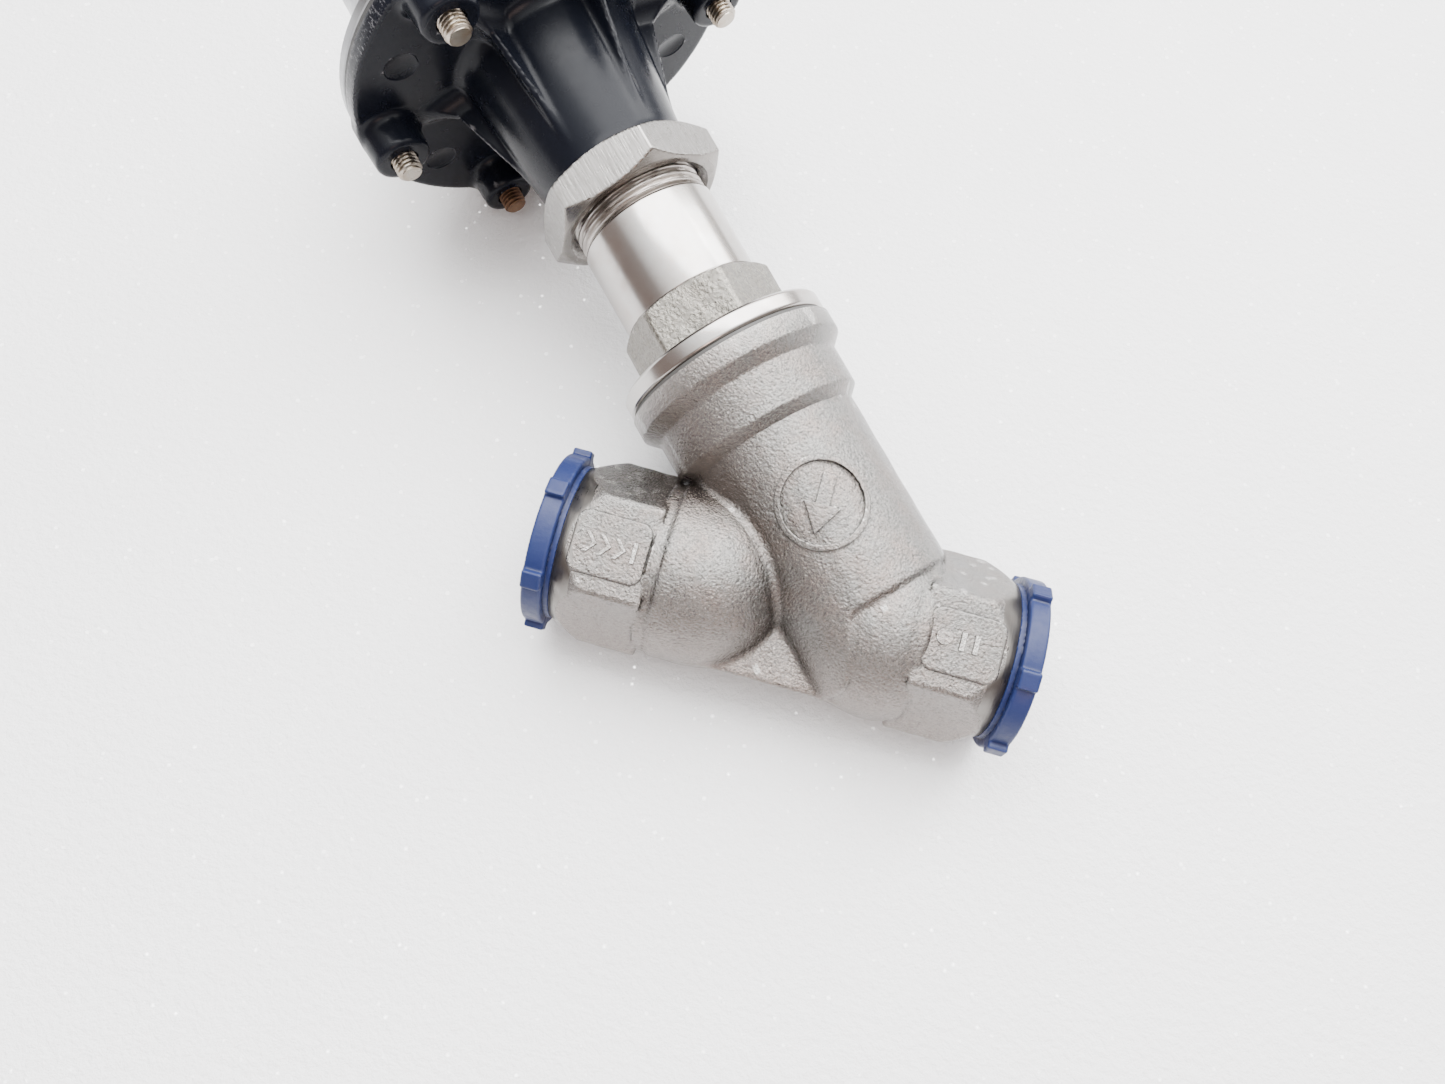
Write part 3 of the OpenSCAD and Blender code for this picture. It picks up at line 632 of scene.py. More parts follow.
BLUE = moulded("blue_cap", (0.009, 0.017, 0.075), (0.03, 0.05, 0.15), 0.4, 900, 0.00006,
               Specular_IOR_Level=0.3)
GRAPHITE = moulded("graphite", (0.035, 0.033, 0.032), (0.10, 0.095, 0.09), 0.6, 3000, 0.00006)
PTFE = moulded("ptfe", (0.84, 0.83, 0.78), (0.74, 0.72, 0.66), 0.42, 1200, 0.00002)
RUBBER = moulded("rubber", (0.014, 0.014, 0.014), (0.06, 0.06, 0.06), 0.55, 2200, 0.00005)
BRASS = turned_metal("brass", (0.66, 0.47, 0.19), (0.55, 0.37, 0.14), 0.26)
RED = moulded("indicator_red", (0.58, 0.05, 0.025), (0.68, 0.20, 0.14), 0.3)


def clear_plastic():
    """Clear plastic with a slight haze."""
    g = Graph("clear_window")
    haze = g.noise(300, 4)
    color = g.blend(haze, (0.90, 0.95, 0.97), (0.84, 0.90, 0.93))
    roughness = g.remap(haze, 0.3, 0.8, 0.03, 0.14)
    return g.done(color, roughness, g.bump(g.noise(500, 2), 0.00002), Transmission_Weight=0.92, IOR=1.58)


CLEAR = clear_plastic()

# ---------- valve body

BARREL_R = 16.4  # outlet barrel
BRANCH_R = 16.8  # branch that holds the bonnet
ELBOW_R = 16.75  # bulge where the branch meets the inlet
GROOVE_R = 15.8  # bottom of the groove beside each hexagon
DOME_X = 34  # from O to the centre of the outlet's dome
HEX_AF = 30
HEX_LEN = 16.5
CONE_R = 14.35  # turned cone on each end, at the face
COLLAR_TOP = 55.5
BORE_R = 9.5  # flow passages
SEAT_R = 8.5


def hex_end(x, y, z, face, sign, length=HEX_LEN):
    """Cast hexagon with a turned end; face is the end's x, sign the way that it points."""
    out = (face - x) * sign
    d = hexagon(z, y, HEX_AF, 1.1)
    d = meet(d, slab(out, -2, length), 0.6)
    cone = (np.hypot(y, z) - CONE_R - 0.5 * out) * 0.9
    return meet(d, cone, 0.2)


def barrels(x, y, z):
    """Outlet barrel with its domed end, inlet barrel, and the groove beside each hexagon."""
    rr = np.hypot(y, z)
    dome = np.hypot(np.maximum(x + DOME_X, 0), rr) - BARREL_R
    outlet = meet(dome, -40.9 - x, 1.1)
    outlet = np.minimum(outlet, meet(rr - GROOVE_R, slab(x, -43, -40), 0.2))
    inlet = meet(rr - BARREL_R + 0.1, slab(x, -1, 3.3), 0.9)
    inlet = np.minimum(inlet, meet(rr - GROOVE_R, slab(x, 0, 6), 0.2))
    return outlet, inlet


def body_outside(x, y, z):
    """The casting, in the lying frame: s runs up the stem and v across it."""
    s = HALF * (z - x)
    v = HALF * (z + x)
    rb = np.hypot(v, y)
    outlet, inlet = barrels(x, y, z)
    elbow = np.sqrt(x * x + y * y + z * z) - ELBOW_R
    inlet = fuse(inlet, elbow, 1.0)
    # the branch ends in a shoulder above the elbow, which fades out towards the outlet
    t = np.clip((v + 13) / 9, 0, 1)
    shoulder = -6 + 11.2 * t * t * (3 - 2 * t)
    branch = meet(rb - BRANCH_R, shoulder - s, 0.9)
    branch = meet(branch, s - 54, 0.4)
    run = fuse(branch, inlet, 0.7)
    web = meet(meet(slab(y, -4.5, 4.5), slab(x, -DOME_X, 0), 0.5), slab(z, 1 - BARREL_R, 0), 0.6)
    run = fuse(run, outlet, 1.5)
    run = fuse(run, web, 0.7)
    run = np.minimum(run, hex_end(x, y, z, IN_END, 1))
    run = np.minimum(run, hex_end(x, y, z, -OUT_END, -1))
    wave = np.sin(0.9 * x + 0.3 * z) * np.sin(0.7 * y + 1.1) * np.sin(0.8 * z + 0.4 * x)
    run = run + 0.07 * wave
    # flash left in the crotch
    lump = np.sqrt((s - 33.5) ** 2 / 9 + (v + 17.6) ** 2 + (y + 3) ** 2 / 5) - 1.3
    run = fuse(run, lump * 0.7 + 0.25 * np.sin(2.1 * x) * np.sin(1.7 * y), 1.2)
    return run


def thread_cutter(name, face_sign):
    """The inside of a pipe port: mouth, threaded wall and runout, with local z out of the end."""
    pitch = 1.814
    thread = screw_surface(name, 12.06, 13.22, pitch, -15.6, 1.2, 96, 1.0, 0.22)
    profile = [(0, -2.6), (12.9, -2.6), (13.4, -2.1), (13.4, 0.6), (13.4, 3), (0, 3)]
    mouth = lathe(name + "_mouth", profile)
    return moved(combine(thread, [mouth], "UNION"), face_place(face_sign))


def face_place(sign):
    """Local z out of an end face, in the lying frame's millimetres."""
    turn = rot("Y", 90 * sign)
    return shift(IN_END if sign > 0 else -OUT_END) @ turn


STEM_TO_LAY = rot("Y", -45)


def passages():
    """Flow passages: the run, cut in two by the wall that holds the seat, and the chamber above it."""
    run = lathe("run", [(0, -20), (BORE_R, -20), (BORE_R, IN_END - 4), (0, IN_END - 4)])
    moved(run, rot("Y", 90))
    wall = lathe("wall", [(0, 0.5), (40, 0.5), (40, 40), (0, 40)])
    moved(wall, STEM_TO_LAY)
    run = combine(run, [wall], "DIFFERENCE")
    profile = [(0, -0.5), (9.3, -0.5), (SEAT_R, 0.6), (SEAT_R, 5.4), (0, 5.4)]
    hole = moved(lathe("hole", soften(profile, 0.3)), STEM_TO_LAY)
    return combine(run, [hole, chamber(), outlet_bore(), outlet_duct()], "UNION")


def chamber():
    """The space above the seat, with the seat's lip standing in it."""
    profile = [(0, 4), (12.8, 4), (12.8, 42.2), (14.4, 42.2), (14.4, 60), (0, 60)]
    space = lathe("chamber", profile)
    profile = [(SEAT_R, 3), (10.1, 3), (10.1, 5.2), (SEAT_R, 5.2)]
    lip = lathe("lip", soften(profile, 0.2), closed=True)
    return moved(combine(space, [lip], "DIFFERENCE"), STEM_TO_LAY)


def outlet_bore():
    """Bore with a rounded inner end."""
    turns = [math.radians(a) for a in range(0, 90, 6)]
    bend = [(BORE_R * math.cos(a), BORE_R * math.sin(a) - DOME_X) for a in turns]
    mouth = [(0, -OUT_END + 4), (BORE_R, -OUT_END + 4)]
    return moved(lathe("outlet", mouth + bend + [(0, BORE_R - DOME_X)]), rot("Y", 90))


def outlet_duct():
    """Duct square to the stem, from the chamber to the outlet bore's rounded end."""
    level = DOME_X * HALF
    duct = lathe("duct", [(0, -level), (BORE_R, -level), (BORE_R, 0), (0, 0)])
    return moved(duct, STEM_TO_LAY @ shift(0, 0, level) @ rot("Y", 90))


def pad(x, marks):
    """Raised pad on the flat that faces up, with plain marks on it."""
    def f(a, b, c):
        return meet(box2(a, b, 13.4, 11, 2.2), slab(c, -2, 0.5), 0.3)

    plate = shape("pad", f, (-7.5, -6.3, -2.5), (7.5, 6.3, 1), 0.22)
    plate = combine(plate, [prism("mark", m, 0.2, 0.85, 0.12) for m in marks], "UNION")
    # local x along the pipe, y towards the outlet side of the actuator, z out of the flat
    turn = Matrix(((1, 0, 0, x), (0, 0, -1, -HEX_AF / 2), (0, 1, 0, 0), (0, 0, 0, 1)))
    return moved(plate, turn)


def chevron(x, h=3.6, w=1.0, lean=1.5):
    """One chevron stroke that points along x."""
    return [(x, -h / 2), (x + w, -h / 2), (x + w + lean, 0), (x + w, h / 2), (x, h / 2), (x + lean, 0)]


def bar(x, y, w, h):
    """Outline of a w by h bar about (x, y)."""
    left, right = x - w / 2, x + w / 2
    bottom, top = y - h / 2, y + h / 2
    return [(left, bottom), (right, bottom), (right, top), (left, top)]


def dot(x, y, r, n=20):
    """Outline of a round dot."""
    turns = [2 * math.pi * i / n for i in range(n)]
    return [(x + r * math.cos(a), y + r * math.sin(a)) for a in turns]


MEDALLION_S = 23.9  # station of the medallion's middle
OUT_OF_BRANCH = Matrix(((1, 0, 0, 0), (0, 0, -1, 0), (0, 1, 0, 0), (0, 0, 0, 1)))


def medallion():
    """Raised ring and flow arrow that follow the curve of the branch."""
    def f(a, b, c):
        # a across the stem, b along it, c out of the branch
        rise = np.hypot(a, c) - BRANCH_R
        rho = np.hypot(a, b)
        ring = meet(slab(rho, 7.3, 8.3), slab(rise, -1, 0.75), 0.14)
        p, q = turned(a, b, 225)
        head = np.maximum(0.4 - p, 0.85 * np.abs(q) + 0.53 * p - 3.0)
        tail = box2(p + 2.0, q, 6.2, 2.4, 0.3)
        arrow = meet(np.minimum(head, tail), slab(rise, -1, 0.75), 0.12)
        return np.minimum(ring, arrow)

    relief = shape("medallion", f, (-9, -9, 12), (9, 9, 18.2), 0.16)
    return moved(relief, STEM_TO_LAY @ shift(0, 0, MEDALLION_S) @ OUT_OF_BRANCH)


OUT_PAD_X = -49.95
IN_PAD_X = 12.35
TRIM_R = 30  # wide enough to trim past every end


def reliefs():
    """Collar, pads and medallion, which stand on the casting."""
    steps = [(0, 38), (16.3, 38), (16.6, 39.5), (18.7, 41.6), (18.75, 49.5), (21, 51.8),
             (21, 57.5), (0, 57.5)]
    collar = moved(lathe("collar", soften(steps, 0.3), 160), STEM_TO_LAY)
    marks_out = [chevron(-4.6), chevron(-2.0), chevron(0.6), bar(4.4, 0, 0.9, 3.6)]
    marks_in = [dot(-3.6, 0.6, 1.5), bar(-0.4, 0.5, 1.0, 3.2), bar(1.9, 0.5, 1.0, 3.2)]
    return [collar, pad(OUT_PAD_X, marks_out), pad(IN_PAD_X, marks_in), medallion()]


def trims():
    """Blocks that cut both ends and the collar square."""
    blocks = []
    for sign in (1, -1):
        block = lathe("trim", [(0, 0), (TRIM_R, 0), (TRIM_R, 6), (0, 6)], 24)
        blocks.append(moved(block, face_place(sign)))
    top = lathe("trim", [(0, COLLAR_TOP), (TRIM_R, COLLAR_TOP), (TRIM_R, 62), (0, 62)], 24)
    blocks.append(moved(top, STEM_TO_LAY))
    return blocks


def pick_turned(x, y, z, nx, ny, nz):
    """1 on the body's turned faces, threads and bores, 0 on its cast skin."""
    rr = np.hypot(y, z)
    near_end = np.maximum(x - IN_END, -OUT_END - x)
    cone = (near_end > -3.6) & (np.abs(rr - CONE_R + 0.5 * near_end) < 0.12)
    inner = (rr < 13.6) & (near_end > -16)
    faces = near_end > -0.05
    s = HALF * (z - x)
    rb = np.hypot(HALF * (z + x), y)
    top_face = s > COLLAR_TOP - 0.7
    bore = (rb < 14.45) & (s > 3)
    return np.where(cone | inner | faces | top_face | bore, 1, 0)


def valve_body():
    obj = shape("valve_body", body_outside, (-61, -22, -18.4), (23.2, 22, 55.2), 0.5)
    combine(obj, reliefs(), "UNION")
    threads = [thread_cutter("inlet_cut", 1), thread_cutter("outlet_cut", -1)]
    combine(obj, trims() + [passages()] + threads, "DIFFERENCE")
    return finish_piece(obj, "valve_body_cast", LAY, "valve", [CAST, TURNED_RUN],
                        ["valve_body"], 38, pick_turned)


# ---------- bonnet and lock nut

RING_S = 56.3  # stations along the stem
HEX_S = 60.2
TUBE_S = 70.5
LOCK_S = 88.1
NECK_S = 98.4
SPIGOT_TOP = 113.9
TUBE_R = 13.6


def bonnet_core():
    """Ring, tube and spigot in one turned shape."""
    core = [(0, 43), (13.6, 43), (14.4, 43.8), (14.4, RING_S), (20.2, RING_S), (20.7, RING_S + 0.5),
            (20.7, HEX_S - 0.9), (20.2, HEX_S - 0.35), (17.4, HEX_S - 0.1), (14.2, HEX_S + 0.4),
            (13.4, HEX_S + 1), (13.4, TUBE_S), (TUBE_R, TUBE_S), (TUBE_R, LOCK_S - 0.5), (13.3, LOCK_S),
            (12.4, LOCK_S), (12.4, NECK_S), (10.5, NECK_S), (10.5, 108), (9.7, 108), (9.7, 109.5),
            (10.5, 109.5), (10.5, SPIGOT_TOP - 0.5), (10, SPIGOT_TOP), (0, SPIGOT_TOP)]
    return lathe("bonnet", soften(core, 0.25), 144)


def bonnet_hexagon():
    """Cast hexagon above the ring, a little uneven."""
    def f(x, y, z):
        p, q = turned(x, y, 50)
        d = meet(hexagon(p, q, 27.5, 1.3), slab(z, HEX_S - 0.3, TUBE_S), 0.5)
        cone = (np.hypot(x, y) - 13.75 - 1.9 * (TUBE_S - z)) * 0.46
        wave = 0.06 * np.sin(1.1 * x + 0.5 * z) * np.sin(1.3 * y + 0.7)
        return meet(d, cone, 0.25) + wave

    return shape("hex", f, (-17, -17, HEX_S - 1), (17, 17, TUBE_S + 1), 0.3)


def bonnet_tag():
    """A plain cast mark on the flat that faces up."""
    marks = [prism("mark", dot(0, 0.2, 1.7), 13.4, 14.3, 0.12),
             prism("mark", bar(0, -3.1, 3.2, 0.9), 13.4, 14.3, 0.1)]
    out_of_flat = Matrix(((0, 0, 1, 0), (1, 0, 0, 0), (0, 1, 0, 0), (0, 0, 0, 1)))
    turn = rot("Z", -70) @ shift(0, 0, HEX_S + 5.6) @ out_of_flat
    return [moved(mark, turn) for mark in marks]


def pick_bonnet(x, y, z, nx, ny, nz):
    """0 polished, 1 cast hexagon, 2 turned, 3 thread."""
    r = np.hypot(x, y)
    hexed = (z > HEX_S + 0.02) & (z < TUBE_S + 0.1) & (r > TUBE_R + 0.03)
    top = hexed & (nz > 0.75)
    threaded = (z > LOCK_S + 0.02) & (z < NECK_S)
    hidden = (r < 9) | (z < RING_S - 0.05) | (z > NECK_S)
    return np.select([hidden, top, hexed, threaded], [2, 2, 1, 3], 0)


def bonnet():
    obj = bonnet_core()
    block = bonnet_hexagon()
    pitch = 1.5
    thread = screw_surface("thread", 12.5, 13.2, pitch, LOCK_S + 0.15, NECK_S, 120, 0.7, 0.1)
    combine(obj, [block, thread] + bonnet_tag(), "UNION")
    bore = lathe("bore", [(0, 40), (7, 40), (7, 51), (8, 51), (8, 120), (0, 120)], 96)
    combine(obj, [bore], "DIFFERENCE")
    return finish_piece(obj, "bonnet_turned", STEM, "valve",
                        [POLISHED, CAST_HEX, TURNED, THREAD], ["bonnet"], 35, pick_bonnet)


def lock_nut():
    lo, hi = 91.3, 99.3

    def f(x, y, z):
        p, q = turned(x, y, 46)
        d = meet(hexagon(p, q, 33, 0.35), slab(z, lo, hi), 0.25)
        r = np.hypot(x, y)
        for depth in (z - lo, hi - z):
            d = meet(d, (r - 16.35 - depth * 1.73) * 0.5, 0.15)
        return d

    obj = shape("nut", f, (-20, -20, lo - 0.7), (20, 20, hi + 0.7), 0.3)
    bore = lathe("bore", soften([(0, lo - 1), (15.0, lo - 1), (15.0, lo - 0.01), (13.3, lo + 1.4),
                                 (13.3, hi - 1), (15.25, hi - 1), (15.25, hi + 1), (0, hi + 1)], 0.2), 144)
    combine(obj, [bore], "DIFFERENCE")

    def pick(x, y, z, nx, ny, nz):
        return np.where(np.abs(nz) > 0.25, 1, 0)

    return finish_piece(obj, "lock_nut_machined", STEM, "valve", [NUT, CHAMFER],
                        ["lock_nut"], 28, pick)


# ---------- actuator housing

FLANGE_S = 128.6  # lower face of the flange
JOINT_S = 131.9  # joint between the housing and the cover
BOSS_S = 122.0  # lower face of the screw bosses
FLANGE_R = 39.9
SCREW_R = 34.6
SCREW_PHASE = 4  # degrees from V to the first screw
PILOT_S = 121.1  # middle of the air port
PILOT_R = 7.35
PILOT_ANGLE = 94


def around(x, y, phase, count=6):
    """Radius, and distance sideways from the nearest of count spokes."""
    r = np.hypot(x, y)
    a = np.arctan2(y, x) - math.radians(phase)
    step = 2 * math.pi / count
    a = a - step * np.round(a / step)
    return r * np.cos(a), r * np.sin(a)


def housing_outside(x, y, z):
    """Cone, flange, ribs, screw bosses and air port in one moulding."""
    r = np.hypot(x, y)
    wall = 14.9 + np.maximum(z - 101, 0) * 0.1175
    cone = meet((r - wall) * 0.993, slab(z, NECK_S + 0.05, JOINT_S), 0.4)
    flange = meet(r - FLANGE_R, slab(z, FLANGE_S, JOINT_S), 0.45)
    out, side = around(x, y, SCREW_PHASE)
    crest = 15.2 + (z - 105.5) * 0.318
    crest = np.where(z > 125, 21.4 + (z - 125) * 1.5, crest)
    half_width = 0.6 + 0.26 * np.clip(crest - out, 0, 12)
    rib = meet((np.abs(side) - half_width) * 0.96, (out - crest) * 0.93, 0.35)
    rib = np.maximum(rib, 100 - z)
    boss_r = 5.8 - np.clip(FLANGE_S - z, 0, 7) * 0.06
    boss = meet(np.hypot(out - SCREW_R, side) - boss_r, slab(z, BOSS_S, JOINT_S), 0.9)
    p, q = turned(x, y, PILOT_ANGLE)
    pilot = meet(np.hypot(q, z - PILOT_S) - PILOT_R, slab(p, 0, 25.5), 0.7)
    d = fuse(cone, rib, 0.9)
    d = fuse(d, flange, 3.0)
    d = fuse(d, pilot, 1.5)
    d = fuse(d, boss, 1.6)
    return np.maximum(np.maximum(d, z - JOINT_S), r - FLANGE_R - 0.55)


def screw_holes():
    """Six holes through the bosses, and a shallow round mark between each two."""
    holes = []
    profile = [(0, BOSS_S - 2), (2.95, BOSS_S - 2), (2.95, BOSS_S - 0.1), (2.6, BOSS_S + 0.5),
               (2.6, 136), (0, 136)]
    dimple = [(0, FLANGE_S - 0.5), (3.7, FLANGE_S - 0.5), (3.3, FLANGE_S + 0.02),
              (3.0, FLANGE_S + 0.22), (0, FLANGE_S + 0.22)]
    for i in range(6):
        turn = rot("Z", SCREW_PHASE + 60 * i) @ shift(SCREW_R)
        holes.append(moved(lathe("hole", profile, 40), turn))
        turn = rot("Z", SCREW_PHASE + 30 + 60 * i) @ shift(31.6)
        holes.append(moved(lathe("mark", dimple, 48), turn))
    return holes


def air_port():
    """Threaded air port with a narrow way into the housing."""
    pitch = 0.907
    port = screw_surface("pilot", 4.3, 4.85, pitch, 17.5, 26.5, 64, 0.5, 0.11)
    air = lathe("air", [(0, 11), (2, 11), (2, 18), (0, 18)], 32)
    port = combine(port, [air], "UNION")
    return moved(port, shift(0, 0, PILOT_S) @ rot("Z", PILOT_ANGLE) @ rot("Y", 90))


def housing_inside():
    profile = [(0, NECK_S - 2), (10.55, NECK_S - 2), (10.55, 107.9), (12.9, 107.9), (12.9, 114.9),
               (13.3, 114.9), (13.3, 129.8), (28, 129.8), (28, 135), (0, 135)]
    bore = lathe("bore", profile, 96)
    return [bore] + screw_holes() + [air_port()]


def actuator_housing():
    obj = shape("housing", housing_outside, (-41.5, -41.5, 97.5), (41.5, 41.5, 132.9), 0.5)
    combine(obj, housing_inside(), "DIFFERENCE")
    return finish_piece(obj, "actuator_housing_moulded", STEM, "actuator", [BLACK],
                        ["actuator_housing"], 34)


# ---------- screws, spring, caps

COVER_TOP = 135.1
STAINED_SCREW = 2


def screw_head(x, y, z):
    """Round head with a hexagon socket and a knurled edge."""
    d = meet(np.hypot(x, y) - 4.2, slab(z, COVER_TOP, COVER_TOP + 4), 0.35)
    socket = np.maximum(hexagon(x, y, 4, 0.1), COVER_TOP + 1.6 - z)
    knurl = 0.06 * np.cos(48 * np.arctan2(y, x)) * (z < COVER_TOP + 3.2)
    return meet(d - knurl, -socket, 0.15)


def flange_screws():
    pieces = []
    stained = []
    pitch = 0.8
    for i in range(6):
        screw = screw_surface("screw", 1.98, 2.5, pitch, 118.9, 136.5, 48, 0.5, 0.08)
        cap = shape("head", screw_head, (-5, -5, COVER_TOP - 0.6), (5, 5, COVER_TOP + 4.6), 0.25)
        screw = combine(screw, [cap], "UNION")
        turn = rot("Z", SCREW_PHASE + 60 * i) @ shift(SCREW_R) @ rot("Z", 37 * i)
        group = stained if i == STAINED_SCREW else pieces
        group.append(moved(screw, turn))
    finish_piece(join("screws", pieces), "flange_screws_threaded", STEM, "actuator",
                 [SCREW], ["flange_screws"], 40)
    finish_piece(join("screw", stained), "flange_screw_stained", STEM, "actuator",
                 [RUSTY], ["flange_screws"], 40)


def coil(name, radius, wire, lo, hi, turns, end_turn=0.75, sides=12, steps=36):
    """Round-wire spring whose last turns lie flat."""
    n = turns * steps
    t = np.linspace(0, turns, n + 1)
    rise = np.interp(t, [0, end_turn, turns - end_turn, turns], [0, 0.02, 0.98, 1])
    z = lo + wire + (hi - lo - 2 * wire) * rise
    a = t * 2 * math.pi
    b = np.arange(sides) * 2 * math.pi / sides
    r = radius + wire * np.cos(b)[None, :]
    height = z[:, None] + wire * np.sin(b)[None, :]
    pts = np.stack([r * np.cos(a)[:, None], r * np.sin(a)[:, None], height], -1)
    faces = grid_faces(n + 1, sides, False).tolist()
    faces.append(list(range(sides)))
    faces.append([n * sides + i for i in range(sides)][::-1])
    return outward(new_object(name, pts.reshape(-1, 3), faces))


def return_spring():
    """Return spring, which the stem squashes in the valve but which stays one fixed coil here, and the
    spring over the packing.
    """
    lo, hi = 134.95, 166.05
    spring = coil("spring", 15, 1.6, lo, hi, 5)
    finish_piece(spring, "return_spring_coil", STEM, "actuator", [SPRING],
                 ["return_spring"], 60)
    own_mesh(spring)
    packing = coil("packing", 6.55, 0.85, 52.05, 63.95, 5, sides=10, steps=28)
    finish_piece(packing, "packing_spring_coil", STEM, "valve", [SPRING],
                 ["packing_spring"], 60)


def port_cap(name, sign, phase):
    """Push-in cap for a port, with six lugs and a hollow back."""
    def f(x, y, z):
        r = np.hypot(x, y)
        rim = meet(r - 16, slab(z, 1.05, 4.68), 0.4)
        out, side = around(x, y, phase)
        lug = meet(meet(slab(side, -1.7, 1.7), out - 17.15, 0.4), slab(z, 1.05, 4.6), 0.35)
        lug = np.maximum(lug, 14 - out)
        rim = fuse(rim, lug, 0.35)
        plug = meet(r - 13.3, slab(z, -2.3, 2), 0.4)
        neck = meet(r - 14.5, slab(z, 0.02, 2), 0.2)
        solid = np.minimum(np.minimum(rim, plug), neck)
        hollow = meet(r - 12, -1.0 - z, 0.5)
        ring = np.maximum(slab(r, 5.2, 5.8), slab(z, -2, -0.7))
        return np.minimum(meet(solid, -hollow, 0.3), ring)

    obj = shape(name, f, (-18.2, -18.2, -3), (18.2, 18.2, 5.4), 0.3)
    finish_piece(obj, name + "_moulded", port_place(sign), name, [BLUE], [name], 40)


PLATE_R = 19.5  # the plates that clamp the diaphragm to the stem
SHEET = 0.8
FOLD_R = 3.45  # outside of the rolled fold
STEM_HOLE_R = 4.0
SCREW_HOLE_R = 2.52
SECTORS = 12


def diaphragm_section():
    """(r, s) outline of the rolled sheet, from the stem to the clamped rim and back."""
    mid = JOINT_S + 0.2
    centre = PLATE_R + 0.6 + FOLD_R
    rim = FLANGE_R - 0.3

    def arc(r, a, b):
        turns = [math.radians(a + (b - a) * i / 12) for i in range(13)]
        return [(centre + r * math.cos(t), mid + r * math.sin(t)) for t in turns]

    inner = [(STEM_HOLE_R, mid), (centre - FOLD_R, mid)]
    outer = [(centre + FOLD_R, JOINT_S), (rim, JOINT_S), (rim, JOINT_S + SHEET),
             (centre + FOLD_R + 0.4, JOINT_S + SHEET)]
    back = [(centre - FOLD_R - 0.4, mid + SHEET), (STEM_HOLE_R, mid + SHEET)]
    return inner + arc(FOLD_R - SHEET, 180, 0) + outer + arc(FOLD_R, 14, 166) + back


def sector_mesh(name, middle, section):
    """The section swept over one sector about a middle angle in degrees."""
    half = 180 / SECTORS
    rows = 9
    turns = [math.radians(middle - half + 2 * half * k / (rows - 1)) for k in range(rows)]
    points = [(r * math.cos(t), r * math.sin(t), s) for t in turns for r, s in section]
    cols = len(section)
    faces = grid_faces(rows, cols, False).tolist()
    faces.append(list(reversed(range(cols))))
    faces.append([(rows - 1) * cols + k for k in range(cols)])
    return outward(new_object(name, points, faces))


def diaphragm_sector(i, section):
    """One sector, running under the plates and out to the clamped rim, placed and shaded, with a screw
    hole through every other one.
    """
    middle = SCREW_PHASE + i * 360 / SECTORS
    obj = sector_mesh(f"diaphragm_sector_{i + 1}", middle, section)
    if i % 2 == 0:
        profile = [(0, JOINT_S - 2), (SCREW_HOLE_R, JOINT_S - 2), (SCREW_HOLE_R, JOINT_S + 3),
                   (0, JOINT_S + 3)]
        hole = moved(lathe("hole", profile, 32), rot("Z", middle) @ shift(SCREW_R))
        combine(obj, [hole], "DIFFERENCE")
    dress(obj.data, STEM, [RUBBER], 34)
    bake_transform(obj)
    return obj


def diaphragm():
    """The sheet in sectors, which take the place of the hidden CAD node."""
    section = diaphragm_section()
    pieces = [diaphragm_sector(i, section) for i in range(SECTORS)]
    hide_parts("diaphragm")


# ---------- nodes kept from the CAD

KEPT = {
    "bonnet_gasket": GRAPHITE, "stem_guide_bush": PTFE, "packing_base_washer": TURNED,
    "packing_top_washer": TURNED, "packing_rings": PTFE, "gland_nut": BRASS, "stem_wiper": RUBBER,
    "swivel_clip": SPRING, "seal_carrier": BRASS, "carrier_o_ring": RUBBER, "stem_o_ring": RUBBER,
    "top_cover": COVER, "vent_plug": BRASS, "window_o_ring": RUBBER,
    "indicator_window": CLEAR, "valve_stem": POLISHED, "disc_holder": TURNED, "seat_disc": PTFE,
    "disc_washer": TURNED, "disc_nut": SCREW, "lower_plate": COVER, "upper_plate": COVER,
    "plate_nut": SCREW, "indicator_rod": RED,
}


def dress_kept_nodes():
    """Gives each CAD node that stays its material."""
    for node, material in KEPT.items():
        obj = frame["nodes"][node]
        obj.data.materials.clear()
        obj.data.materials.append(material)


# ---------- floor, light and camera

FLOOR_Z = -16.7 * MM


def floor():
    """Pale, slightly rough floor whose fine specks glow as painted glints."""
    side = 3.0
    middle_y = 0.3
    pts = [(x * side, y * side + middle_y, FLOOR_Z) for x in (-1, 1) for y in (-1, 1)]
    obj = new_object("floor", pts, [[0, 2, 3, 1]])
    g = Graph("pale_floor")
    grain = g.noise(1500, 3, 0.6)
    cloud = g.noise(9, 3)
    color = g.blend(g.remap(cloud, 0.3, 0.7, 0, 1), (0.80, 0.80, 0.81), (0.84, 0.84, 0.845))
    speck = g.remap(g.cells(420), 0.0, 0.16, 1, 0)
    chosen = g.remap(g.noise(300, 2), 0.52, 0.6, 0, 1)
    painted_glint_glow = g.mul(speck, chosen)
    roughness = g.remap(grain, 0.3, 0.7, 0.42, 0.6)
    g.done(color, roughness, g.bump(g.noise(600, 4, 0.7), 0.0005))
    # painted glints: the chosen specks glow through emission
    g.shader.inputs["Emission Color"].default_value = (1, 1, 1, 1)
    g.link(g.mul(painted_glint_glow, 5.0), g.shader.inputs["Emission Strength"])
    obj.data.materials.append(g.material)


def soft_light(name, centre, target, size, power, color=(1, 1, 1)):
    data = bpy.data.lights.new(name, "AREA")
    data.shape = "RECTANGLE"
    data.size, data.size_y = size
    data.energy = power
    data.color = color
    obj = bpy.data.objects.new(name, data)
    obj.location = centre
    obj.rotation_euler = (Vector(target) - Vector(centre)).to_track_quat("-Z", "Y").to_euler()
    bpy.context.scene.collection.objects.link(obj)


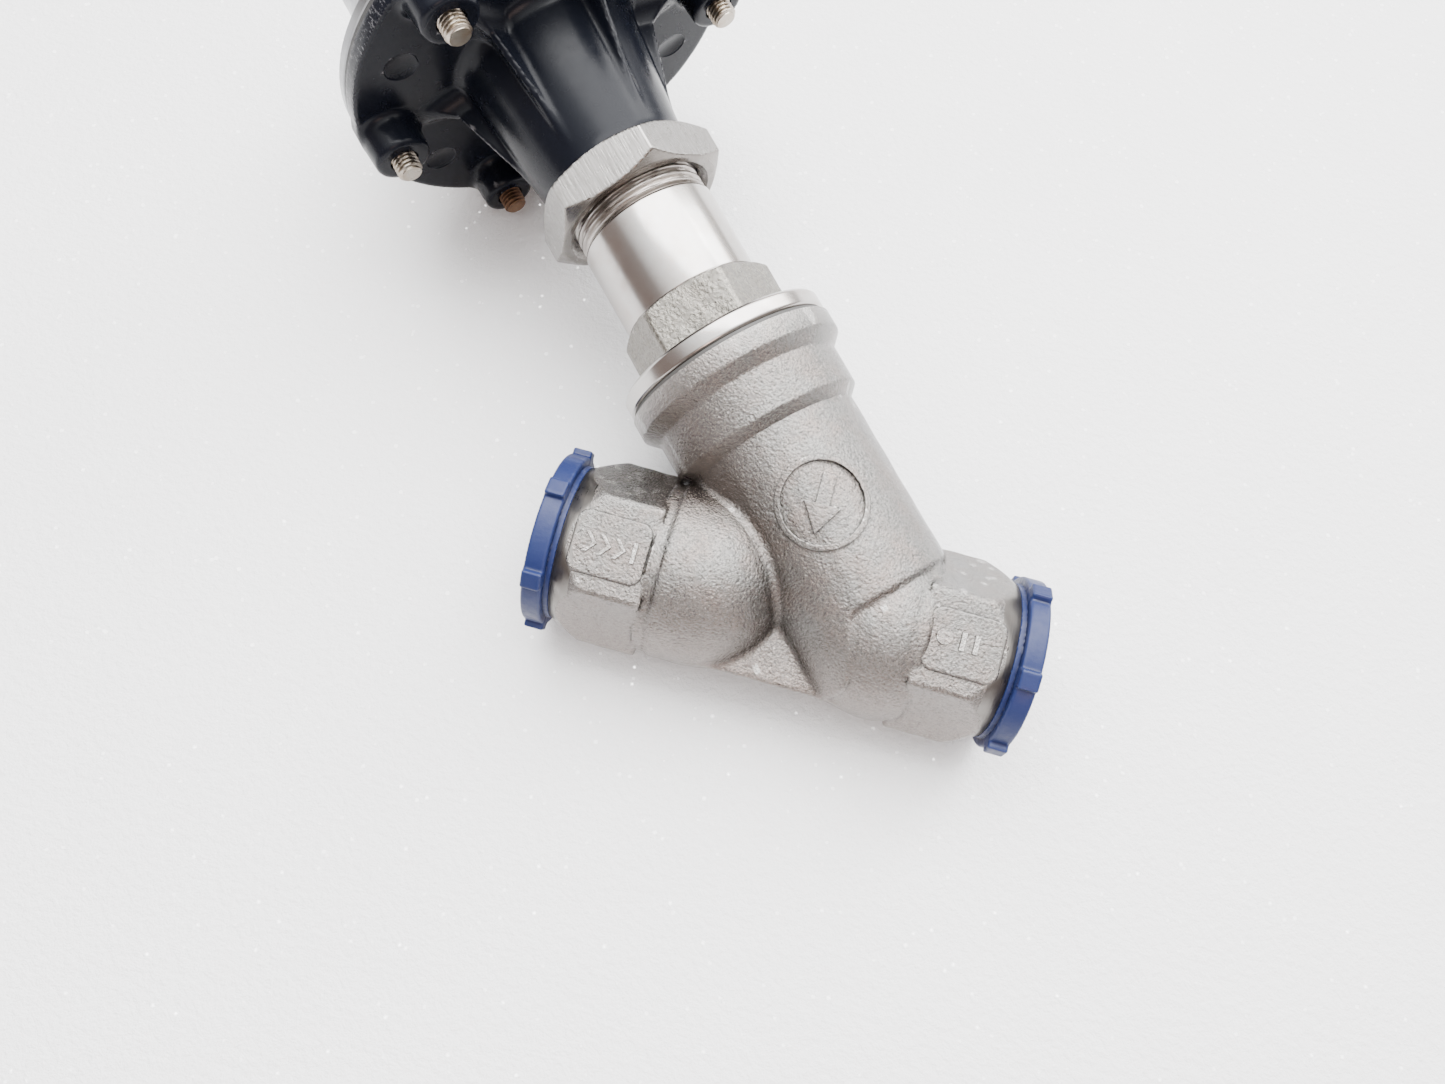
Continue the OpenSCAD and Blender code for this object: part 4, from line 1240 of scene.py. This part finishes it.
SKY_TOP = (0.06, 0.38, 0.92)  # where the surroundings are brightest
SKY_STRENGTH = 5.5
SKY_STOPS = ((0.0, (0.075, 0.06, 0.055)), (0.48, (0.085, 0.068, 0.062)), (0.66, (0.11, 0.095, 0.09)),
             (0.82, (0.50, 0.50, 0.50)), (1.0, (1.0, 1.0, 1.0)))


def sky():
    """Bright overhead, and dim and warm around the sides."""
    world = bpy.data.worlds.new("studio")
    world.use_nodes = True
    tree = world.node_tree
    back = tree.nodes["Background"]
    coord = tree.nodes.new("ShaderNodeTexCoord")
    facing = tree.nodes.new("ShaderNodeVectorMath")
    facing.operation = "DOT_PRODUCT"
    facing.inputs[1].default_value = Vector(SKY_TOP).normalized()
    spread = tree.nodes.new("ShaderNodeMapRange")
    spread.inputs["From Min"].default_value = -1
    ramp = tree.nodes.new("ShaderNodeValToRGB")
    tree.links.new(coord.outputs["Generated"], facing.inputs[0])
    tree.links.new(facing.outputs["Value"], spread.inputs["Value"])
    tree.links.new(spread.outputs["Result"], ramp.inputs[0])
    tree.links.new(ramp.outputs[0], back.inputs["Color"])
    while len(ramp.color_ramp.elements) < len(SKY_STOPS):
        ramp.color_ramp.elements.new(0.5)
    for element, (at, color) in zip(ramp.color_ramp.elements, SKY_STOPS):
        element.position = at
        element.color = (*color, 1)
    back.inputs["Strength"].default_value = SKY_STRENGTH
    bpy.context.scene.world = world


def lights():
    """The surroundings and three soft lights: places in metres, powers in watts."""
    sky()
    centre = (-0.05, 0.03, 0)
    soft_light("ceiling", (-0.10, 0.40, 0.90), centre, (1.1, 0.8), 26)
    soft_light("window", (0.45, 0.80, 0.55), centre, (0.4, 0.5), 7)
    soft_light("front", (0.25, -0.60, 0.50), centre, (0.3, 0.3), 1.6, (1.0, 0.72, 0.62))


CAMERA_AT = (-42.51, -57.82, 180.1)
LENS = 25.48


def camera():
    """Close above the valve, looking down and a little towards the actuator."""
    right = Vector((0.9632, 0.264, 0.0509))
    up = Vector((-0.2652, 0.9016, 0.3418))
    look = right.cross(up) * -1
    data = bpy.data.cameras.new("camera")
    data.sensor_width = 36
    data.lens = LENS
    data.clip_start = 0.005
    obj = bpy.data.objects.new("camera", data)
    m = Matrix.Identity(4)
    for i, axis in enumerate((right, up, -look)):
        for k in range(3):
            m[k][i] = axis[k]
    m.translation = Vector(CAMERA_AT) * MM
    obj.matrix_world = m
    bpy.context.scene.collection.objects.link(obj)
    bpy.context.scene.camera = obj


camera()
lights()
floor()
dress_kept_nodes()
valve_body()
bonnet()
lock_nut()
actuator_housing()
flange_screws()
return_spring()
diaphragm()
port_cap("inlet_cap", 1, 40)
port_cap("outlet_cap", -1, 57)
